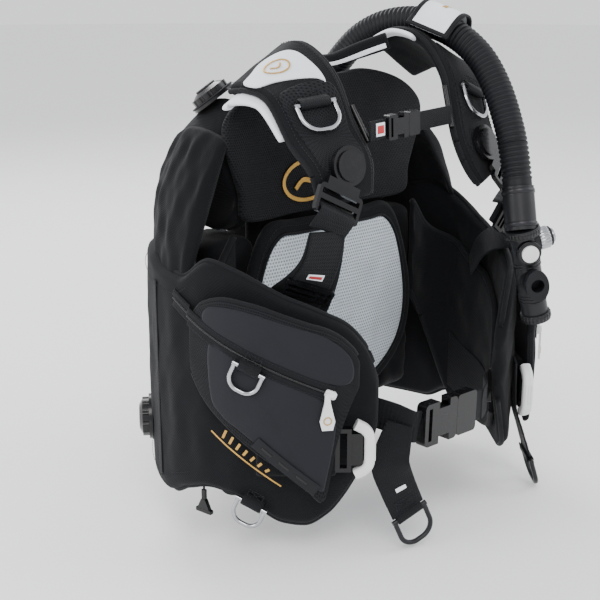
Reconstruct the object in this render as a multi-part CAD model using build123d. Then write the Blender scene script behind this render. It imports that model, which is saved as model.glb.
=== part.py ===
"""Diver's buoyancy compensator vest: harness, bladder, inflator and fittings, in millimetres.

Frame: origin at the centre of the tank band, Z up along the tank axis.  The wearer faces -Y,
so the wearer's right is -X.  Each sub-part is written to parts/NAME.step.
"""

import math
import os

from build123d import *

# ---------------------------------------------------------------- driving dimensions
TANK_R = 85.5            # steel 12 litre cylinder, 171 mm across
BAND_W = 50.0            # tank band webbing
BAND_T = 3.0
WRAP_Y = -160.0          # centre of the oval that the waist lobes follow
WRAP_A = 252.0           # half width of that oval
WRAP_B = 200.0           # half depth of that oval
PAD_FRONT = -158.0       # front face of the back pad
PAD_BACK = -139.0
BLADDER_FRONT = -136.0
PLATE_FRONT = -105.0
WEB_T = 2.5              # webbing thickness
SHOULDER_WEB = 50.0
WAIST_WEB = 38.0
CHEST_WEB = 22.0
STRAP_T = 16.0           # padded shoulder strap
RING_WIRE = 2.6          # radius of a stainless ring's wire
HOSE_D = 36.0            # corrugated hose, outside
CLEAR = 0.4

parts = {}


def keep(name, shape):
    """Store one named sub-part."""
    parts[name] = shape


def mirrored(shape):
    return mirror(shape, about=Plane.YZ)


# ---------------------------------------------------------------- shape helpers
def oval(theta, inset=0.0):
    """Point of the waist oval: 0 at the wearer's right side, 90 at the front; inset is inward."""
    t = math.radians(theta)
    x, y = -WRAP_A * math.cos(t), WRAP_Y - WRAP_B * math.sin(t)
    nx, ny = -math.cos(t) / WRAP_A, -math.sin(t) / WRAP_B
    n = math.hypot(nx, ny)
    return x - inset * nx / n, y - inset * ny / n


def loop(points):
    return Wire.make_polygon([Vector(*p) for p in points], close=True)


def chamfered(width, height, cut):
    """Corner list of a rectangle with its corners cut off."""
    w, h = width / 2, height / 2
    return [(-w + cut, -h), (w - cut, -h), (w, -h + cut), (w, h - cut),
            (w - cut, h), (-w + cut, h), (-w, h - cut), (-w, -h + cut)]


def wall(stations, cut=4.0):
    """Standing soft wall: stations are (outer xy, inner xy, low z, high z) along its length."""
    rings = []
    for (ox, oy), (ix, iy), low, high in stations:
        thick = math.hypot(ox - ix, oy - iy)
        c = min(cut, thick / 2.5, (high - low) / 2.5)
        k = c / thick
        ax, ay = ox + (ix - ox) * k, oy + (iy - oy) * k
        bx, by = ix + (ox - ix) * k, iy + (oy - iy) * k
        rings.append(loop([(ox, oy, low + c), (ax, ay, low), (bx, by, low), (ix, iy, low + c),
                           (ix, iy, high - c), (bx, by, high), (ax, ay, high), (ox, oy, high - c)]))
    return Solid.make_loft(rings, ruled=True)


def oval_wall(rows):
    """Wall on the waist oval: rows are (theta, outer inset, inner inset, low z, high z)."""
    return wall([(oval(t, a), oval(t, b), low, high) for t, a, b, low, high in rows])


def unit(v):
    return Vector(*v).normalized()


def ribbon(centres, across, widths, thick, cut=0.0):
    """Strap carried along a line of centres, with its own width direction at each of them."""
    pts = [Vector(*c) for c in centres]
    rings = []
    for i, p in enumerate(pts):
        run = (pts[min(i + 1, len(pts) - 1)] - pts[max(i - 1, 0)]).normalized()
        side = unit(across[i])
        side = (side - run * side.dot(run)).normalized()
        face = run.cross(side)
        c = max(cut, 0.01)
        corners = chamfered(widths[i], thick, c) if cut else [
            (-widths[i] / 2, -thick / 2), (widths[i] / 2, -thick / 2),
            (widths[i] / 2, thick / 2), (-widths[i] / 2, thick / 2)]
        rings.append(Wire.make_polygon([p + side * u + face * v for u, v in corners], close=True))
    return Solid.make_loft(rings, ruled=True)


def slab(outline, y0, y1):
    """Flat panel: an outline in X and Z, extruded from y0 to y1."""
    face = make_face(Polyline(*[(x, 0, z) for x, z in outline], close=True))
    body = extrude(face, amount=y1 - y0, dir=(0, 1, 0))
    return Pos(0, y0, 0) * body


def sided(outline):
    """A half outline, from the middle of the top to the middle of the bottom, made whole."""
    left = [(-x, z) for x, z in reversed(outline) if abs(x) > 0.01]
    return outline + left


def frame_at(origin, x_dir, z_dir):
    return Plane(origin=origin, x_dir=x_dir, z_dir=z_dir)


def turned(plane, x=0.0, y=0.0, z=0.0):
    """The plane turned about its own axes, in degrees."""
    return Plane(plane.location * Rot(x, y, z))


def tube_ring(width, drop, wire):
    """D ring in its own XY plane: a straight bar along X at y=0, its bow hanging to y=-drop."""
    r = 0.42 * width
    line = FilletPolyline((-width / 2, 0), (-width / 2, -drop), (width / 2, -drop), (width / 2, 0),
                          radius=min(r, drop - 1.0), close=False)
    bow = sweep(Plane(origin=line @ 0, z_dir=line % 0) * Circle(wire), path=line)
    bar = Pos(-width / 2 - wire, 0, 0) * (Rot(0, 90, 0) * Cylinder(
        wire, width + 2 * wire, align=(Align.CENTER, Align.CENTER, Align.MIN)))
    return bow + bar


# ---------------------------------------------------------------- back: plate, bladder, pads
def backpack_plate():
    """Moulded plate that cradles the tank, with slots for its two bands and a grip at the top."""
    body = Pos(0, PLATE_FRONT, 10) * Box(196, 40, 320, align=(Align.CENTER, Align.MIN, Align.CENTER))
    body = fillet(body.edges().filter_by(Axis.Y), 34)
    body -= Cylinder(TANK_R + CLEAR, 400)
    for z, half in ((0.0, BAND_W / 2 + 2), (UPPER_STRAP_Z, UPPER_STRAP_W / 2 + 2)):
        body -= Pos(0, 0, z) * Cylinder(TANK_R + BAND_T + 1.5, 2 * half)
    for x in (-52, 52):
        for z in (-95, 62):
            body -= Pos(x, PLATE_FRONT, z) * Box(34, 60, 56)
    body -= Pos(0, PLATE_FRONT, -95) * Box(46, 60, 70)
    return body


UPPER_STRAP_Z = 118.0
UPPER_STRAP_W = 25.0
HANDLE_Z = 176.0


def back_bladder():
    """Rear part of the air bladder: a flat centre in front of the plate, and a lobe each side."""
    centre = slab(sided([(0, 250), (60, 256), (104, 242), (113, 200), (113, -178), (60, -196), (0, -190)]),
                  PLATE_FRONT - 2 - 29, PLATE_FRONT - 2)
    wing_plan = [(112, BLADDER_FRONT), (112, -40), (128, -42), (160, -70), (186, -106), (178, BLADDER_FRONT)]
    wing = Pos(0, 0, -186) * extrude(make_face(Polyline(*wing_plan, close=True)), amount=262)
    shoulder = slab([(112, 77), (152, 77), (143, 100), (145, 118), (165, 150), (177, 178), (172, 196),
                     (135, 226), (112, 240)], BLADDER_FRONT, -48)
    side = wing + shoulder
    return centre + side + mirrored(side)


def yoke_pad():
    """Upper back pad that spreads to both shoulders."""
    half = [(0, 262), (60, 266), (128, 250), (168, 222), (172, 190), (150, 132), (140, 94), (0, 94)]
    return slab(sided(half), -153, PAD_BACK)


def back_pad():
    """Mesh covered pad behind the wearer's back."""
    half = [(0, 91), (108, 91), (138, 40), (157, -40), (142, -108), (92, -154), (34, -168), (0, -169)]
    return slab(sided(half), PAD_FRONT, PAD_BACK)


def neck_collar():
    """Padded roll round the back of the neck."""
    plan = [(-62, -150), (-30, -141), (8, -141), (44, -152), (70, -178)]
    low = [270, 268, 268, 276, 288]
    high = [292, 286, 284, 296, 309]
    stations = []
    for i, (x, y) in enumerate(plan):
        a, b = plan[max(i - 1, 0)], plan[min(i + 1, len(plan) - 1)]
        run = Vector(b[0] - a[0], b[1] - a[1]).normalized() * 7
        stations.append(((x + run.Y, y - run.X), (x - run.Y, y + run.X), low[i], high[i]))
    return wall(stations)


# ---------------------------------------------------------------- waist lobes
LOBE_INSET = {-52: 0, -38: 0, -25: 0, -12: 0, -2: 1, 10: 5, 19: 10, 28: 15, 36: 15, 43: 15, 50: 15,
              55: 15, 61: 15, 66: 16}
LOBE_LOW = {-52: -186, -38: -208, -25: -216, -12: -219, -2: -204, 10: -193, 19: -198, 28: -214,
            36: -228, 43: -231, 50: -218, 55: -197, 61: -160, 66: -118}
LOBE_HIGH_R = {-52: 66, -38: 70, -25: 66, -12: 55, -2: 52, 10: 74, 19: 66, 28: 52, 36: 38, 43: 28,
               50: 16, 55: 6, 61: -19, 66: -60}
LOBE_HIGH_L = {-52: 70, -38: 74, -25: 92, -12: 101, -2: 88, 10: 70, 19: 58, 28: 48, 36: 40, 43: 30,
               50: 18, 55: 6, 61: -19, 66: -60}


LOBE_INNER = 28.0        # inset of the lobe's inner face


def swell(theta, out):
    """How far the left side stands out at theta: nothing at the side, all of it in front."""
    return out * min(max((theta - 15) / 35, 0), 1)


def lobe(high, out=0.0):
    """One waist lobe: an air cell that wraps from beside the tank to the front."""
    rows = []
    for theta, inset in LOBE_INSET.items():
        s = swell(theta, out)
        rows.append((theta, inset - s, LOBE_INNER + inset / 5 - s, LOBE_LOW[theta], high[theta]))
    return oval_wall(rows)


POCKET_ROWS = [(6, -5, 1, -46, 8), (12, -8, 1, -78, 32), (20, -11, -1, -104, 40), (28, -12, -3.2, -128, 36),
               (36, -12, -3.2, -150, 26), (43, -12, -3.2, -172, 16), (47.5, -12, -3.2, -190, 10),
               (51, -12, -3.2, -122, 2), (55, -12, -3.2, -74, -14), (57, -12, -3.2, -56, -28)]


def pocket(out=0.0):
    """Cargo pocket panel over the lobe; its front edge leans back towards the hem."""
    return oval_wall([(t, a - swell(t, out), b - swell(t, out), low, high) for t, a, b, low, high in POCKET_ROWS])


def lining(out=0.0):
    """Inner waist flap on the wearer's right, from the back pad's edge forward."""
    rows = [((-158, -144), (-158, -152), -40, 84), ((-190, -148), (-186, -156), -95, 44)]
    for theta, low, high in ((8, -196, 24), (20, -206, 4), (32, -212, -8), (44, -202, -40), (54, -168, -92)):
        s = swell(theta, out)
        rows.append((oval(theta, 33.5 - s), oval(theta, 41.5 - s), low, high))
    return wall(rows, cut=2.5)


# ---------------------------------------------------------------- weight pouches
POUCH_THETA = 40.0
POUCH_INSET = 8.5
POUCH_Z = -134.0
POUCH_LEN = 88.0
POUCH_H = 62.0
POUCH_T = 10.0


def pouch_plane(out, turn):
    return turned(on_oval(POUCH_THETA, POUCH_INSET - out, POUCH_Z), y=-turn)


def weight_pouch(out=0.0, turn=0.0):
    """Weight pouch with the latch frame and webbing tongue on its front end."""
    bag = fillet(Box(POUCH_LEN, POUCH_H, POUCH_T).edges(), 3.5)
    frame = Pos(POUCH_LEN / 2 + 9, 0, 0) * Box(17.9, 52, 10)
    frame -= Pos(POUCH_LEN / 2 + 9, 0, 0) * Box(8, 42, 20)
    tongue = Pos(POUCH_LEN / 2 + 24, 0, 0) * Box(14, 38, 4)
    neck = Pos(POUCH_LEN / 2 - 1, 0, 0) * Box(4, 50, 8)
    return pouch_plane(out, turn) * (bag + neck + frame + tongue)


def pouch_handle(out=0.0, turn=0.0):
    """Curved grip across the end of the tongue, its ends bent back towards the vest."""
    x0 = POUCH_LEN / 2 + 31.5
    line = FilletPolyline((x0 - 9, 30), (x0 + 7, 22), (x0 + 7, -22), (x0 - 9, -30), radius=16)
    grip = sweep(Plane(origin=line @ 0, z_dir=line % 0) * RectangleRounded(12, 13, 4), path=line)
    grip -= Pos(x0 - 2, 0, 0) * Box(4.2, 38.6, 4.6)
    return pouch_plane(out, turn) * grip


# ---------------------------------------------------------------- shoulder straps
RIGHT_STRAP = dict(
    centres=[(-112, -142, 272), (-112, -172, 274), (-114, -215, 254), (-118, -252, 207),
             (-118, -280, 176), (-117, -287, 140)],
    across=[(-.89, 0, -.45), (-.89, 0, -.45), (-.95, .1, -.3), (-.97, .15, -.2), (-.98, .1, -.1), (-.98, .1, -.1)],
    widths=[104, 104, 94, 86, 84, 72])
LEFT_STRAP = dict(
    centres=[(120, -143, 274), (130, -174, 287), (136, -210, 280), (134, -242, 252), (122, -264, 215),
             (112, -287, 176), (124, -300, 140)],
    across=[(.89, 0, -.45), (.89, 0, -.45), (.9, .05, -.4), (.95, .1, -.3), (.97, .12, -.2), (.98, .1, -.1),
            (.98, .1, -.1)],
    widths=[98, 100, 98, 92, 86, 84, 66])

HUB_R = 15.0
BUCKLE_W = 60.0


def swivel_hub(plane):
    """Fixed pivot disc with a flange under the swivel ring."""
    disc = Pos(0, 0, 5.0) * Cylinder(HUB_R, 10)
    cap = Pos(0, 0, 10.9) * Cylinder(HUB_R + 2.0, 1.8)
    return plane * (disc + cap)


def swivel_buckle(plane, lean):
    """Swivel ring and ladder buckle in one moulding; lean turns it about the hub."""
    ring = Pos(0, 0, 6.5) * (Cylinder(22, 6) - Cylinder(HUB_R + 0.4, 8))
    neck = Pos(0, -25, 6.5) * Box(44, 12, 6)
    neck -= Pos(0, 0, 6.5) * Cylinder(HUB_R + 0.4, 8)
    body = Pos(0, -44, 6.5) * Box(BUCKLE_W, 32, 6)
    body = fillet(body.edges().filter_by(Axis.Z), 5)
    body -= Pos(0, -36.5, 6.5) * Box(SHOULDER_WEB + 2, 6, 8)
    body -= Pos(0, -49.5, 6.5) * Box(SHOULDER_WEB + 2, 8, 8)
    return plane * (Rot(0, 0, lean) * (ring + neck + body))


RIGHT_WEB = dict(
    centres=[(-152, -295, 112), (-154, -290, 84), (-154, -275, 56), (-157, -260, 32), (-163, -249, 15),
             (-166, -244, 6)],
    across=[(.95, -.1, 0), (.95, -.2, 0), (.88, -.45, 0), (.72, -.69, 0), (.68, -.73, 0), (.66, -.75, 0)],
    widths=[50, 54, 62, 68, 70, 70])
LEFT_WEB = dict(
    centres=[(134, -308, 106), (156, -312, 88), (180, -300, 70), (188, -278, 54), (176, -254, 36), (172, -240, 6)],
    across=[(.8, -.1, .5), (.7, -.1, .6), (.5, .3, .7), (.5, .7, .4), (.6, .75, .2), (.70, .71, 0)],
    widths=[50, 50, 50, 50, 50, 50])


def strap_point(strap, t):
    """Centre, width direction and outward normal of a strap at station t (may be fractional)."""
    pts = [Vector(*c) for c in strap["centres"]]
    i = min(int(t), len(pts) - 2)
    f = t - i
    centre = pts[i] * (1 - f) + pts[i + 1] * f
    run = (pts[i + 1] - pts[i]).normalized()
    side = unit(strap["across"][i]) * (1 - f) + unit(strap["across"][i + 1]) * f
    side = (side - run * side.dot(run)).normalized()
    face = run.cross(side)
    if face.Y > 0:
        face = face * -1
    return centre, side, face


def on_strap(strap, t, lift, shift=0.0):
    """Plane above a strap: local Y points up along it, Z away from it; shift is outward from the neck."""
    centre, side, face = strap_point(strap, t)
    origin = centre + face * (STRAP_T / 2 + lift) + side * shift
    x_dir = side if face.cross(side).Z > 0 else side * -1
    return frame_at(tuple(origin), tuple(x_dir), tuple(face))


def on_oval(theta, inset, z, tilt=0.0):
    """Plane on the right side's wall: X runs forward, Y up, Z outward; tilt turns it about Z."""
    x, y = oval(theta, inset)
    t = math.radians(theta)
    run = unit((WRAP_A * math.sin(t), -WRAP_B * math.cos(t), 0))
    out = run.cross(Vector(0, 0, 1))
    return turned(frame_at((x, y, z), tuple(run), tuple(out)), z=tilt)


# ---------------------------------------------------------------- rings and their loops
CHEST_RING = (47.0, 33.0)      # inside width and drop of a ring
SMALL_RING = (34.0, 27.0)
TAIL_RING = (42.0, 40.0)
TAIL_WIRE = 3.0
BAR_LIFT = 5.0                 # a ring's bar above the face that it lies on


def bar_loop(width, depth):
    """Webbing loop sewn round a ring's bar: local X along the bar, bar at the origin."""
    body = Pos(0, 2.5, -0.7) * Box(width, depth, 2 * BAR_LIFT - 2.0)
    return body - Rot(0, 90, 0) * Cylinder(RING_WIRE + 0.3, width + 2)


def pocket_ring_plane():
    return on_oval(27.5, -12 - BAR_LIFT, -33, -24)


def hem_ring_plane(out=0.0):
    return on_oval(26, 14 - swell(26, out) - BAR_LIFT - 1.8, -204, -24)


CHEST_PLANE_R = on_strap(RIGHT_STRAP, 2.45, BAR_LIFT + 1.0)
CHEST_PLANE_L = on_strap(LEFT_STRAP, 3.5, BAR_LIFT + 1.0)


# ---------------------------------------------------------------- chest strap
CHEST_A = Vector(-76, -285, 211)        # on the right shoulder strap's inner edge
CHEST_B = Vector(84, -285, 219)         # on the left one
CHEST_FEMALE_X = 26.0                   # start of the socket along the strap
CHEST_SOCKET = 34.0
CHEST_BASE = 19.0


def chest_plane(s):
    run = (CHEST_B - CHEST_A).normalized()
    return frame_at(tuple(CHEST_A + run * s), tuple(run), (0, -1, 0))


def side_release(length, height, thick, base):
    """Socket and plug of a side-release buckle, local X along the webbing, mouth at x=0."""
    wall_t = thick * 0.2
    socket = Pos(-length / 2, 0, 0) * Box(length, height, thick)
    socket = fillet(socket.edges().filter_by(Axis.Z), height * 0.12)
    depth = length * 0.66
    socket -= Pos(-depth / 2, 0, 0) * Box(depth, height - 4 * wall_t, thick - 2 * wall_t)
    for side in (-1, 1):
        socket -= Pos(-depth * 0.62, side * height / 2, 0) * Box(depth * 0.5, height * 0.34, thick * 2)
    socket -= Pos(-length * 0.84, 0, 0) * Box(length * 0.1, height * 0.76, thick * 2)
    prong_t = thick - 2 * wall_t - 1.0
    plug = Pos(base / 2 + 0.3, 0, 0) * Box(base, height * 0.98, thick)
    plug = fillet(plug.edges().filter_by(Axis.Z), height * 0.1)
    for side in (-1, 1):
        plug += Pos(-depth / 2 + 1.2, side * height * 0.24, 0) * Box(depth - 1.5, height * 0.11, prong_t)
    plug += Pos(-depth / 2 + 1.2, 0, 0) * Box(depth - 1.5, height * 0.07, prong_t)
    plug -= Pos(base / 2 + 1.5, 0, 0) * Box(base + 3, height * 0.80, WEB_T + 1.0)
    return socket, plug


def rail(strap, t0, t1, inner):
    """Slim slider rail along a shoulder strap's inner edge."""
    ends = []
    for t in (t0, t1):
        centre, side, face = strap_point(strap, t)
        ends.append(centre - side * inner + face * 3)
    run = (ends[1] - ends[0])
    plane = frame_at(tuple(ends[0]), tuple(run.cross(Vector(1, 0, 0)).normalized()), tuple(run.normalized()))
    return plane * Cylinder(3.2, run.length, align=(Align.CENTER, Align.CENTER, Align.MIN))


# ---------------------------------------------------------------- waist belt
WAIST_MOUTH = Vector(2, -353, -124)
WAIST_RUN = (0.9995, 0, -0.03)
WAIST_SOCKET = 58.0
WAIST_BASE = 36.0


def waist_plane():
    return frame_at(tuple(WAIST_MOUTH), WAIST_RUN, (0, -1, 0))


RIGHT_BELT = dict(centres=[(-120.8, -295.7, -104), (-104.3, -303.4, -106), (-90.5, -308.8, -108), (-80, -331, -112),
                           (-69, -349.4, -119.8), (-59.5, -353, -122.2)],
                  across=[(0, 0, 1)] * 6, widths=[WAIST_WEB] * 6)
LEFT_BELT = dict(centres=[(128.8, -312.2, -124), (111.1, -320.6, -124), (96.5, -326.8, -123.6), (80, -343, -124.8),
                          (59, -353, -125.71), (52, -353, -125.5), (16, -353, -124.42)],
                 across=[(0, 0, 1)] * 7, widths=[WAIST_WEB] * 7)
RIGHT_TAIL = dict(centres=[(-80, -342, -116), (-88, -342, -136), (-97, -344, -160), (-87, -346, -188), (-71, -350, -224)],
                  across=[(.73, -.69, 0), (.73, -.69, 0), (.73, -.69, 0), (.85, -.45, .25), (.9, -.3, .38)],
                  widths=[30, 38, 44, 44, 44])
LEFT_TAIL = dict(centres=[(142.6, -339.6, -92), (143.7, -339, -112), (148.6, -336.2, -136), (152.6, -334.7, -160),
                          (165, -337, -192), (176, -341, -226)],
                 across=[(.74, .67, 0), (.72, .69, 0), (.70, .71, 0), (.66, .75, 0), (.66, .75, 0), (.64, .75, 0)],
                 widths=[26, 28, 28, 30, 38, 38])


def tail_end(tail):
    """Plane on the ring bar below a tail's end: X along the bar, the ring hanging to -Y."""
    pts = [Vector(*c) for c in tail["centres"][-2:]]
    run = (pts[1] - pts[0]).normalized()
    side = unit(tail["across"][-1])
    side = (side - run * side.dot(run)).normalized()
    return frame_at(tuple(pts[1] + run * 5.0), tuple(side), tuple(side.cross(run * -1)))


def tail(strap):
    """Webbing tail with its end sewn round the ring's bar."""
    turned = Box(36, 12.4, 8.4) - Rot(0, 90, 0) * Cylinder(TAIL_WIRE + 0.35, 60)
    return ribbon(**strap, thick=WEB_T) + tail_end(strap) * turned


def on_ribbon(strap, t):
    """Plane on a ribbon: X along it, Y across it, Z out of its face."""
    centre, side, face = strap_point(strap, t)
    return frame_at(tuple(centre), tuple(side.cross(face)), tuple(face))


def tri_glide(plane, width, across, lift=0.2, thick=4.5):
    """Slider frame round a webbing: local X along the webbing, Y across it, Z out of its face."""
    bar = across / 4
    body = fillet(Box(across, width + 9, thick).edges().filter_by(Axis.Z), 3)
    for x in (-across / 2 + bar * 1.3, across / 2 - bar * 1.3):
        body -= Pos(x, 0, 0) * Box(bar * 0.9, width + 1.2, thick * 2)
    body = Pos(0, 0, WEB_T / 2 + thick / 2 + lift) * body
    return plane * body


# ---------------------------------------------------------------- inflator
HOSE_ROUTE = [(104, -53, 257), (107, -77, 285), (112, -107, 307), (119, -145, 320), (128, -189, 321),
              (136, -230, 307), (140.5, -265, 283), (137, -294, 250), (129, -318, 213), (118.5, -339.5, 175),
              (112, -351, 134)]
CUFF_LEN = 49.0
BODY_KINK = Vector(104.6, -364.1, 87.4)     # where the cuff meets the inflator body
BODY_DIR = Vector(0.244, -0.073, -0.967)
BODY_R = 16.0


def hose():
    """Corrugated hose as a plain tube: straight runs joined by arcs as large as the runs allow."""
    pts = [Vector(*p) for p in HOSE_ROUTE]
    radii = []
    for a, b, c in zip(pts, pts[1:], pts[2:]):
        turn = math.radians((b - a).get_angle(c - b))
        radii.append(0.45 * min((b - a).length, (c - b).length) / math.tan(turn / 2))
    print("hose radii", [round(r) for r in radii])
    path = FilletPolyline(*pts, radius=radii)
    tube = sweep(Plane(origin=path @ 0, z_dir=path % 0) * Circle(HOSE_D / 2), path=path)
    print("hose length", round(path.length), "volume / (section x length)",
          round(tube.volume / (math.pi * HOSE_D ** 2 / 4 * path.length), 4))
    return tube


def hose_elbow():
    """Threaded port on the bladder that the hose leaves."""
    pts = [Vector(*p) for p in HOSE_ROUTE]
    run = (pts[1] - pts[0]).normalized()
    plane = Plane(origin=tuple(pts[0]), z_dir=tuple(run))
    port = plane * Cylinder(19.5, 16, align=(Align.CENTER, Align.CENTER, Align.MAX))
    nut = plane * (Pos(0, 0, -16) * Cylinder(25, 9, align=(Align.CENTER, Align.CENTER, Align.MAX)))
    return port + nut


def body_plane(d, turn=0.0):
    """Plane across the inflator body at distance d from its top; Z points down the body."""
    run = BODY_DIR.normalized()
    look = Vector(-0.62, -0.78, 0.05)
    look = (look - run * look.dot(run)).normalized()
    origin = BODY_KINK + run * d
    plane = frame_at(tuple(origin), tuple(look), tuple(run))
    return turned(plane, z=turn)


def inflator_body():
    """Cuff, housing, button seats and the knurled quick-release boss of the power inflator."""
    down = (Align.CENTER, Align.CENTER, Align.MIN)
    a, b = [Vector(*p) for p in HOSE_ROUTE[-2:]]
    run = (b - a).normalized()
    cuff = Plane(origin=tuple(b), z_dir=tuple(run)) * Cylinder(19, CUFF_LEN + 3, align=down)
    head = body_plane(-1) * Cylinder(21.5, 10, align=down)
    housing = body_plane(8) * Cylinder(BODY_R, 108, align=down)
    boss = body_plane(26) * (Pos(2, 0, 0) * Rot(0, 90, 0) * Cylinder(13.5, 20, align=down))
    seat_low = body_plane(64) * (Pos(4, 0, 0) * Rot(0, 90, 0) * Cylinder(15, 12, align=down))
    knob = body_plane(20, -95) * (Pos(4, 0, 0) * Rot(0, 90, 0) * Cylinder(12, 30, align=down))
    cap = body_plane(110) * Cylinder(18, 10, align=down)
    body = cuff + head + housing + boss + seat_low + knob + cap
    body -= body_plane(26) * (Pos(15.5, 0, 0) * Rot(0, 90, 0) * Cylinder(10.6, 20, align=down))
    body -= body_plane(112) * Cylinder(9.6, 20, align=down)
    return body


def inflate_button():
    return body_plane(26) * (Pos(18.5, 0, 0) * Rot(0, 90, 0) * Cylinder(
        10.2, 6, align=(Align.CENTER, Align.CENTER, Align.MIN)))


def deflate_button():
    return body_plane(115) * Cylinder(9.2, 8, align=(Align.CENTER, Align.CENTER, Align.MIN))


def mouthpiece():
    """Oval oral-inflation mouthpiece on the front of the inflator."""
    base = body_plane(64) * (Pos(16.4, 0, 0) * Rot(0, 90, 0) * Cylinder(
        11, 10, align=(Align.CENTER, Align.CENTER, Align.MIN)))
    rim_face = body_plane(64) * (Pos(26, 0, 0) * Rot(0, 90, 0) * Ellipse(20, 14))
    rim = extrude(rim_face, amount=7)
    bore = body_plane(64) * (Pos(18, 0, 0) * Rot(0, 90, 0) * Cylinder(
        8, 30, align=(Align.CENTER, Align.CENTER, Align.MIN)))
    return base + rim - bore


FLAP_AT = 4.5            # where along the hose route the flap sits
FLAP_LEN = 60.0
FLAP_ARCH = [(-36, -1.5), (-27, 6.5), (-17.5, 16.5), (-6, 23.2), (6, 23.2), (17.5, 16.5), (24, 2), (25.5, -12),
             (25, -26)]


def hose_flap():
    """Flap that holds the hose on the left shoulder, arched over it from the inner edge."""
    i = int(FLAP_AT)
    a, b = Vector(*HOSE_ROUTE[i]), Vector(*HOSE_ROUTE[i + 1])
    middle = a * (1 - FLAP_AT + i) + b * (FLAP_AT - i)
    run = (b - a).normalized()
    side = unit(Vector(1, 0, 0) - run * run.X)
    rise = run.cross(side) * -1
    if rise.Z < 0:
        rise = rise * -1
    centres = [tuple(middle + side * u + rise * v) for u, v in FLAP_ARCH]
    return ribbon(centres, [tuple(run)] * len(centres), [FLAP_LEN] * len(centres), 3.0)


# ---------------------------------------------------------------- dump valves and toggle
SHOULDER_VALVE = Vector(-123, -76, 233)
SHOULDER_VALVE_DIR = (-0.42, 0.42, 0.80)
REAR_VALVE_THETA = -31.0
REAR_VALVE_Z = -150.0
TOGGLE_THETA = 6.0
TOGGLE_TOP = -201.5


def dump_valve():
    """Ribbed cap on a flange: local Z outward."""
    up = (Align.CENTER, Align.CENTER, Align.MIN)
    flange = Cylinder(28, 5, align=up)
    cap = Pos(0, 0, 5) * Cylinder(24, 8, align=up)
    top = Pos(0, 0, 13) * Cone(22, 15, 4, align=up)
    body = flange + cap + top
    for i in range(12):
        body -= Rot(0, 0, 30 * i) * Pos(25.2, 0, 9.5) * Cylinder(3.0, 9)
    return body


def toggle():
    """T shaped pull on the end of a dump cord: local Y up, Z outward."""
    stem = Pos(0, -11, 0) * Box(5, 22, 4)
    neck = extrude(make_face(Polyline((-3, -12), (3, -12), (9, -24), (-9, -24), close=True)), amount=5, both=False)
    bar = Pos(0, -26.5, 0) * Box(24, 5.5, 6)
    return fillet(bar.edges(), 1.5) + Pos(0, 0, -2.5) * neck + stem


# ---------------------------------------------------------------- zips
ZIP_SLOPE = -1.78              # fall of the zip in mm per degree of the oval
ZIP_END = 49.0
ZIP_END_Z = -61.0


def zip_plane(out=0.0, inset=-12.0):
    x0, y0 = oval(ZIP_END, inset - out)
    x1, y1 = oval(ZIP_END - 8, inset - out)
    run = Vector(x0 - x1, y0 - y1, 8 * ZIP_SLOPE)
    flat = Vector(x0 - x1, y0 - y1, 0).normalized()
    out_dir = flat.cross(Vector(0, 0, 1))
    return frame_at((x0, y0, ZIP_END_Z), tuple(run.normalized()), tuple(out_dir))


def zip_slider(out=0.0):
    """Zip slider with its hanging pull tag; it runs back along the zip."""
    plane = zip_plane(out)
    body = Pos(0, 0, 3.1) * Box(13, 9, 4)
    body = fillet(body.edges().filter_by(Axis.Z), 3)
    body += Pos(-1, 0, 6.2) * Box(9, 3, 3)
    x, y = oval(ZIP_END - 0.5, -12 - out - 6.6)
    t = math.radians(ZIP_END)
    run = unit((WRAP_A * math.sin(t), -WRAP_B * math.cos(t), 0))
    tag_plane = frame_at((x, y, ZIP_END_Z), tuple(run), tuple(run.cross(Vector(0, 0, 1))))
    tag = extrude(make_face(Polyline((-2.5, 2), (2.5, 2), (3.5, -9), (8.5, -30), (6, -40), (-6, -40), (-8.5, -30),
                                     (-3.5, -9), close=True)), amount=2.6)
    return plane * body + tag_plane * (Pos(-2, 0, -1.5) * tag)


# ---------------------------------------------------------------- tank band and handle
CAM_X = 0.0


def band(width, thick, z):
    return Pos(0, 0, z) * (Cylinder(TANK_R + thick, width) - Cylinder(TANK_R, width + 2))


def cam_buckle():
    """Cam buckle frame on the tank band, at the back of the tank."""
    y0 = TANK_R + BAND_T + CLEAR
    base = Pos(0, y0, 0) * Box(64, 4, 60, align=(Align.CENTER, Align.MIN, Align.CENTER))
    base -= Pos(18, y0, 0) * Box(6, 12, BAND_W + 1)
    for z in (-28, 28):
        base += Pos(-22, y0 + 3.9, z) * Box(16, 12, 4, align=(Align.CENTER, Align.MIN, Align.CENTER))
    base -= Pos(-22, y0 + 10, 0) * Cylinder(2.05, 80)
    return base


def cam_lever():
    """Cam lever with its pin; it closes flat against the band."""
    y0 = TANK_R + BAND_T + CLEAR
    pin = Pos(-22, y0 + 10, 0) * Cylinder(2.0, 60)
    hub = Pos(-22, y0 + 10, 0) * Cylinder(5.0, 50)
    arm = Pos(-22, y0 + 6.5, 0) * Box(58, 5, 48, align=(Align.MIN, Align.MIN, Align.CENTER))
    arm = fillet(arm.edges().filter_by(Axis.Y), 5)
    return pin + hub + arm


def handle_pin():
    """Two lugs and the cross pin of the carrying handle, moulded on the plate."""
    pin_y = PLATE_FRONT + 25
    body = Pos(0, pin_y, HANDLE_Z) * (Rot(0, 90, 0) * Cylinder(2.5, 104))
    for x in (-38, 38):
        body += Pos(x, pin_y, HANDLE_Z - 4) * Box(6, 12, 20)
    return body


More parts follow.
